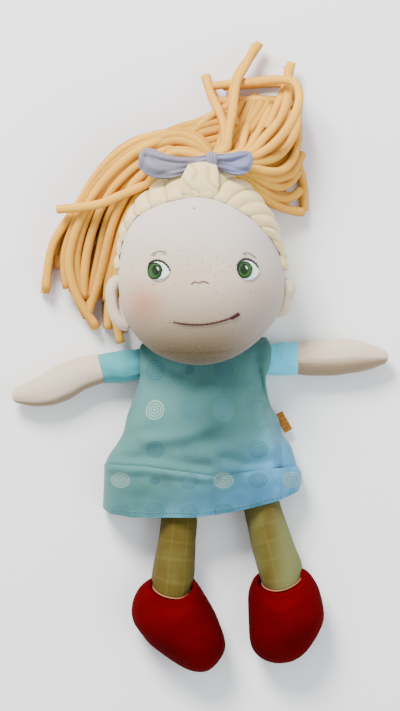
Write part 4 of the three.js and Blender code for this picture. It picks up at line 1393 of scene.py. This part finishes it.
def make_arms(materials):
    for side in SIDES:
        pivot, turn = PIVOTS[side], ARM_TURN[side]
        plan = ARMS[side]["sleeve"]
        deep = [(ARM_HEIGHT, min(s[2], 9.0)) for s in plan]
        rows = lumps(dense_loft(plan, deep, 40, 60, seam=(104,) if side == "left" else (41,)), 7, 0.9, 2)
        cuff = rows[-1].copy()
        middle = cuff.mean(0)
        inner = [middle + (cuff - middle) * scale for scale in (0.985, 0.93, 0.8)]
        inward = (rows[-4].mean(0) - middle) / np.linalg.norm(rows[-4].mean(0) - middle)
        inner[1] = inner[1] + inward * 0.6
        inner[2] = inner[2] + inward * 1.6
        sleeve = Skin().grid(np.vstack([rows, np.array(inner)]), wrap=True, caps=True)
        settle(sleeve.build(side + "_sleeve_padded", materials["jersey"]), "shirt_jersey", None,
               side + "_sleeve", side + "_sleeve_stuffing",
               blend=(side + "_shoulder", side + "_arm", ahead(pivot, turn, -6, ARM_HEIGHT),
                      ahead(pivot, turn, 5, ARM_HEIGHT)),
               pad=0.8)
        plan = ARMS[side]["hand"]
        deep = [(9.6, min(s[2] * 0.92 + 0.4, 9.2)) for s in plan]
        seam = SEAM_TURN[side]
        rows = lumps(dense_loft(plan, deep, 64, 60, seam=(seam,)), 12, 0.6, 5)
        # painted shade: depth on each hand's lower side, below its seam, which the skin material darkens
        turns = 360 * np.arange(60) / 60
        below = (turns - seam if side == "left" else seam - turns) + 4
        under = np.where(np.abs(turns - 180) < 150, eased(below / 8),
                         1) if side == "right" else eased(below / 8)
        under = np.where(turns > 250, 1.0 if side == "right" else 0.0, under)
        hand = Skin().grid(rows, wrap=True, caps=True, depth=np.broadcast_to(under, rows.shape[:2]))
        settle(hand.build(side + "_hand_padded", materials["skin"]), "skin_velour", None,
               side + "_hand", side + "_hand_stuffing",
               blend=(side + "_arm", side + "_hand", ahead(pivot, turn, 12, ARM_HEIGHT),
                      ahead(pivot, turn, 21, ARM_HEIGHT)),
               pad=0.85)


LEGS = {
    "right": [(-15.2, -36, 9.4), (-15.4, -50, 10.4), (-15.7, -65, 10.8), (-16.8, -78, 11.2),
              (-18.2, -90, 12), (-19, -100, 12.6),
              (-20, -106, 12.3), (-20.6, -109.5, 11.8)],
    "left": [(29.6, -36, 9.4), (32, -48, 10.4), (34.6, -60, 11), (38, -73, 11.9), (41.6, -85, 12.6),
             (44.4, -95, 13.1),
             (45.8, -100.4, 13), (46.6, -103.6, 12.6)],
}
HIPS = {"right": (-16.5, -44), "left": (31, -44)}
LEG_TURN = {"right": -92.5, "left": -77.5}
SHOES = {
    "right": [(-31, -100.5), (-38.4, -105.6), (-42.4, -112.2), (-44.2, -119), (-43.8, -125.6),
              (-41, -131.6), (-32, -142), (-18, -152),
              (-9.9, -156.6), (-3, -157.9), (2.6, -156.6), (8.4, -151), (12, -144.5), (12, -138),
              (9.5, -130), (5.8, -121.2),
              (0, -111.3), (-5.4, -103.6), (-10, -99), (-20, -97.6)],
    "left": [(31.2, -98.6), (27.6, -105), (26, -113), (25.6, -122), (26, -131), (26.6, -139), (28.8, -145),
             (33.7, -149.8), (40, -152.4),
             (46, -153), (52.7, -151.8), (58.6, -148.2), (63.6, -142.4), (68, -135), (71.2, -127),
             (71, -119), (68.8, -109), (65.8, -102.6),
             (60.4, -96.4), (52, -93.6), (40, -94)],
}


# how far the ankle seam lies back at the sides, and its dip
ANKLE_CURVE = {"right": (4.0, 7.0), "left": (2.6, 6.2)}
# Middle of the ankle seam's ends and half its width, where the leg meets the shoe.
ANKLES = {"right": (-19.5, -105.8, 13.0), "left": (44.4, -102.2, 13.4)}


def shoe_rows(side):
    """A stuffed shoe: its outline in plan, domed over the instep and flatter on the floor."""
    low, high = (np.array(c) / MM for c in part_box(side + "_shoe"))
    middle, top, bottom = low[2] + (high[2] - low[2]) * 0.42, high[2] + 0.5, max(low[2], 0.4)
    rim = smooth(SHOES[side], 88, closed=True)
    centre = rim.mean(0)
    rows = []
    for tilt in np.radians(np.concatenate([np.linspace(-88, 0, 14)[:-1], np.linspace(0, 88, 24)])):
        scale = math.cos(tilt) ** (0.55 if tilt < 0 else 0.8)
        rise = (top - middle if tilt > 0 else middle - bottom) * math.sin(tilt)
        rows.append([(centre[0] + (x - centre[0]) * scale, centre[1] + (y - centre[1]) * scale,
                      middle + rise)
                     for x, y in rim])
    rows = np.array(rows)
    x, y, wide = ANKLES[side]
    across = np.abs(rows[:, :, 0] - x) / wide
    lean = 0.1 * (rows[:, :, 0] - x) if side == "left" else 0
    line = y + lean - ANKLE_CURVE[side][1] * np.sqrt(np.clip(1 - across**2, 0, 1))
    outside = np.maximum(line - rows[:, :, 1], (across - 1) * wide)
    cap = 13.5 + (top - 17) * eased((outside + 2.6) / 4.0) + 6 * eased((outside - 3) / 14)
    rows[:, :, 2] = np.where(rows[:, :, 2] > cap, cap + (rows[:, :, 2] - cap) * 0.05, rows[:, :, 2])
    toe = centre[1] - 14
    rows[:, :, 2] += np.where(rows[:, :, 2] > middle, -0.10 * np.maximum(toe - rows[:, :, 1], 0), 0)
    return rows


def make_legs(materials):
    for side in SIDES:
        hip, turn = HIPS[side], LEG_TURN[side]
        plan = LEGS[side]
        rise = np.interp([s[1] for s in plan], [-110, -44], [17.0, 12.4])
        deep = [(max(z, s[2] * 0.94 + 0.6), s[2] * 0.94) for z, s in zip(rise, plan)]
        rows = lumps(dense_loft(plan, deep, 56, 52, seam=(0,)), 13, 0.5, 3)
        droop = eased((np.arange(56) - 38) / 17.0)[:, None]
        upper = np.clip((rows[:, :, 2] - rise[-1]) / deep[-1][1], -0.3, 1)
        back, dip = ANKLE_CURVE[side]
        rows[:, :, 1] += droop * (back - dip * upper)
        ring = rows[-1].copy()
        middle = ring.mean(0)
        leg = Skin().grid(np.vstack([rows, [middle + (ring - middle) * 0.9 + [0, 0.6, 0]]]), wrap=True,
                          caps=True)
        trim = np.vstack([ring, ring[:1]])
        leg.grid(tube_rows(middle + (trim - middle) * 1.015, 0.5, 6,
                           up=[np.array([0, -1.0, 0])] * len(trim)), wrap=True, slot=1)
        settle(leg.build(side + "_leg_padded", materials["leg"], materials["trim"]), "leg_check",
               side + "_leg",
               side + "_leg", side + "_leg_stuffing", side + "_hip_stuffing", pad=0.8)
        shoe = Skin().grid(lumps(shoe_rows(side), 16, 0.8, 4), wrap=True, caps=True)
        settle(shoe.build(side + "_shoe_padded", materials["shoe"]), "shoe_felt", None, side + "_shoe",
               side + "_shoe_stuffing",
               blend=(side + "_leg", side + "_foot", ahead(hip, turn, 48, 17), ahead(hip, turn, 60, 17)),
               pad=0.9)


def make_torso(materials):
    plan = [(x, -y, w) for y, x, w, _ in TORSO]
    deep = [(h + 1.2 + 1.2, h) for _, _, _, h in TORSO]
    torso = Skin().grid(dense_loft(plan, deep, 40, 64), wrap=True, caps=True)
    settle(torso.build("torso_padding", materials["jersey"]), "shirt_jersey", "torso", "torso_cover",
           "torso_stuffing", pad=0.8)
    low, high = (np.array(c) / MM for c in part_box("neck_tube"))
    centre, half = (low + high) / 2, (high - low) / 2
    plan = [(centre[0], y, half[0]) for y in np.linspace(low[1] - 3, high[1] + 3, 5)]
    neck = Skin().grid(dense_loft(plan, [(centre[2], half[2])] * 5, 10, 32), wrap=True, caps=True)
    settle(neck.build("neck_padding", materials["skin"]), "skin_velour", "neck", "neck_tube")


def make_tag(material):
    low, high = (np.array(c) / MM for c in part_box("side_tag"))
    height = (low[2] + high[2]) / 2
    inner = [np.array([42.4, -3.2]), np.array([48.4, -14.1])]
    outward = np.array([0.876, 0.482])
    rows = []
    for layer in (1, -1):
        for out in (np.linspace(0, 1, 8) if layer > 0 else np.linspace(1, 0, 8)):
            row = []
            for share in np.linspace(0, 1, 14):
                place = inner[0] + (inner[1] - inner[0]) * share + outward * (5.1 * out - 0.4)
                curl = 0.7 * out * math.sin(share * 3.1) + 0.3 * out
                row.append((*place, height + layer * 0.35 * math.cos(out * 1.5) + curl))
            rows.append(row)
    piece = Skin().grid(np.array(rows)).build("side_tag_loop", material)
    thick(piece, 0.25, 0.0)
    settle(piece, "tag_woven", "side_tag", "side_tag")


def make_doll():
    hair, skin = hair_material(), skin_material("skin_velour")
    make_ponytails(hair)
    make_head({"face": skin_material("face_velour", face=True), "skin": skin})
    eye_colours = [
        thread_material("eye_white", (236, 238, 236)), thread_material("iris_green", (40, 92, 22)),
        thread_material("iris_dark", (6, 30, 12)), thread_material("eye_glint", (206, 228, 190)),
        thread_material("lash", (22, 30, 28)), thread_material("eye_line", (140, 160, 170)),
    ]
    make_eyes(eye_colours)
    make_features(thread_material("brow_thread", (112, 84, 74)),
                  thread_material("mouth_thread", (60, 5, 8)))
    make_scalp(scalp_material())
    make_bow(bow_material(), thread_material("elastic", (214, 190, 150)))
    jersey = jersey_material("shirt_jersey", (70, 152, 156), (54, 132, 142))
    make_torso({"jersey": jersey, "skin": skin})
    make_dress(dress_material(), thread_material("dress_thread", (62, 112, 122)))
    make_arms({"jersey": jersey, "skin": skin})
    make_legs({"leg": leg_material(), "shoe": shoe_material(),
               "trim": thread_material("ankle_trim", (170, 104, 64))})
    make_tag(tag_material())


make_camera()
make_stage()
make_doll()
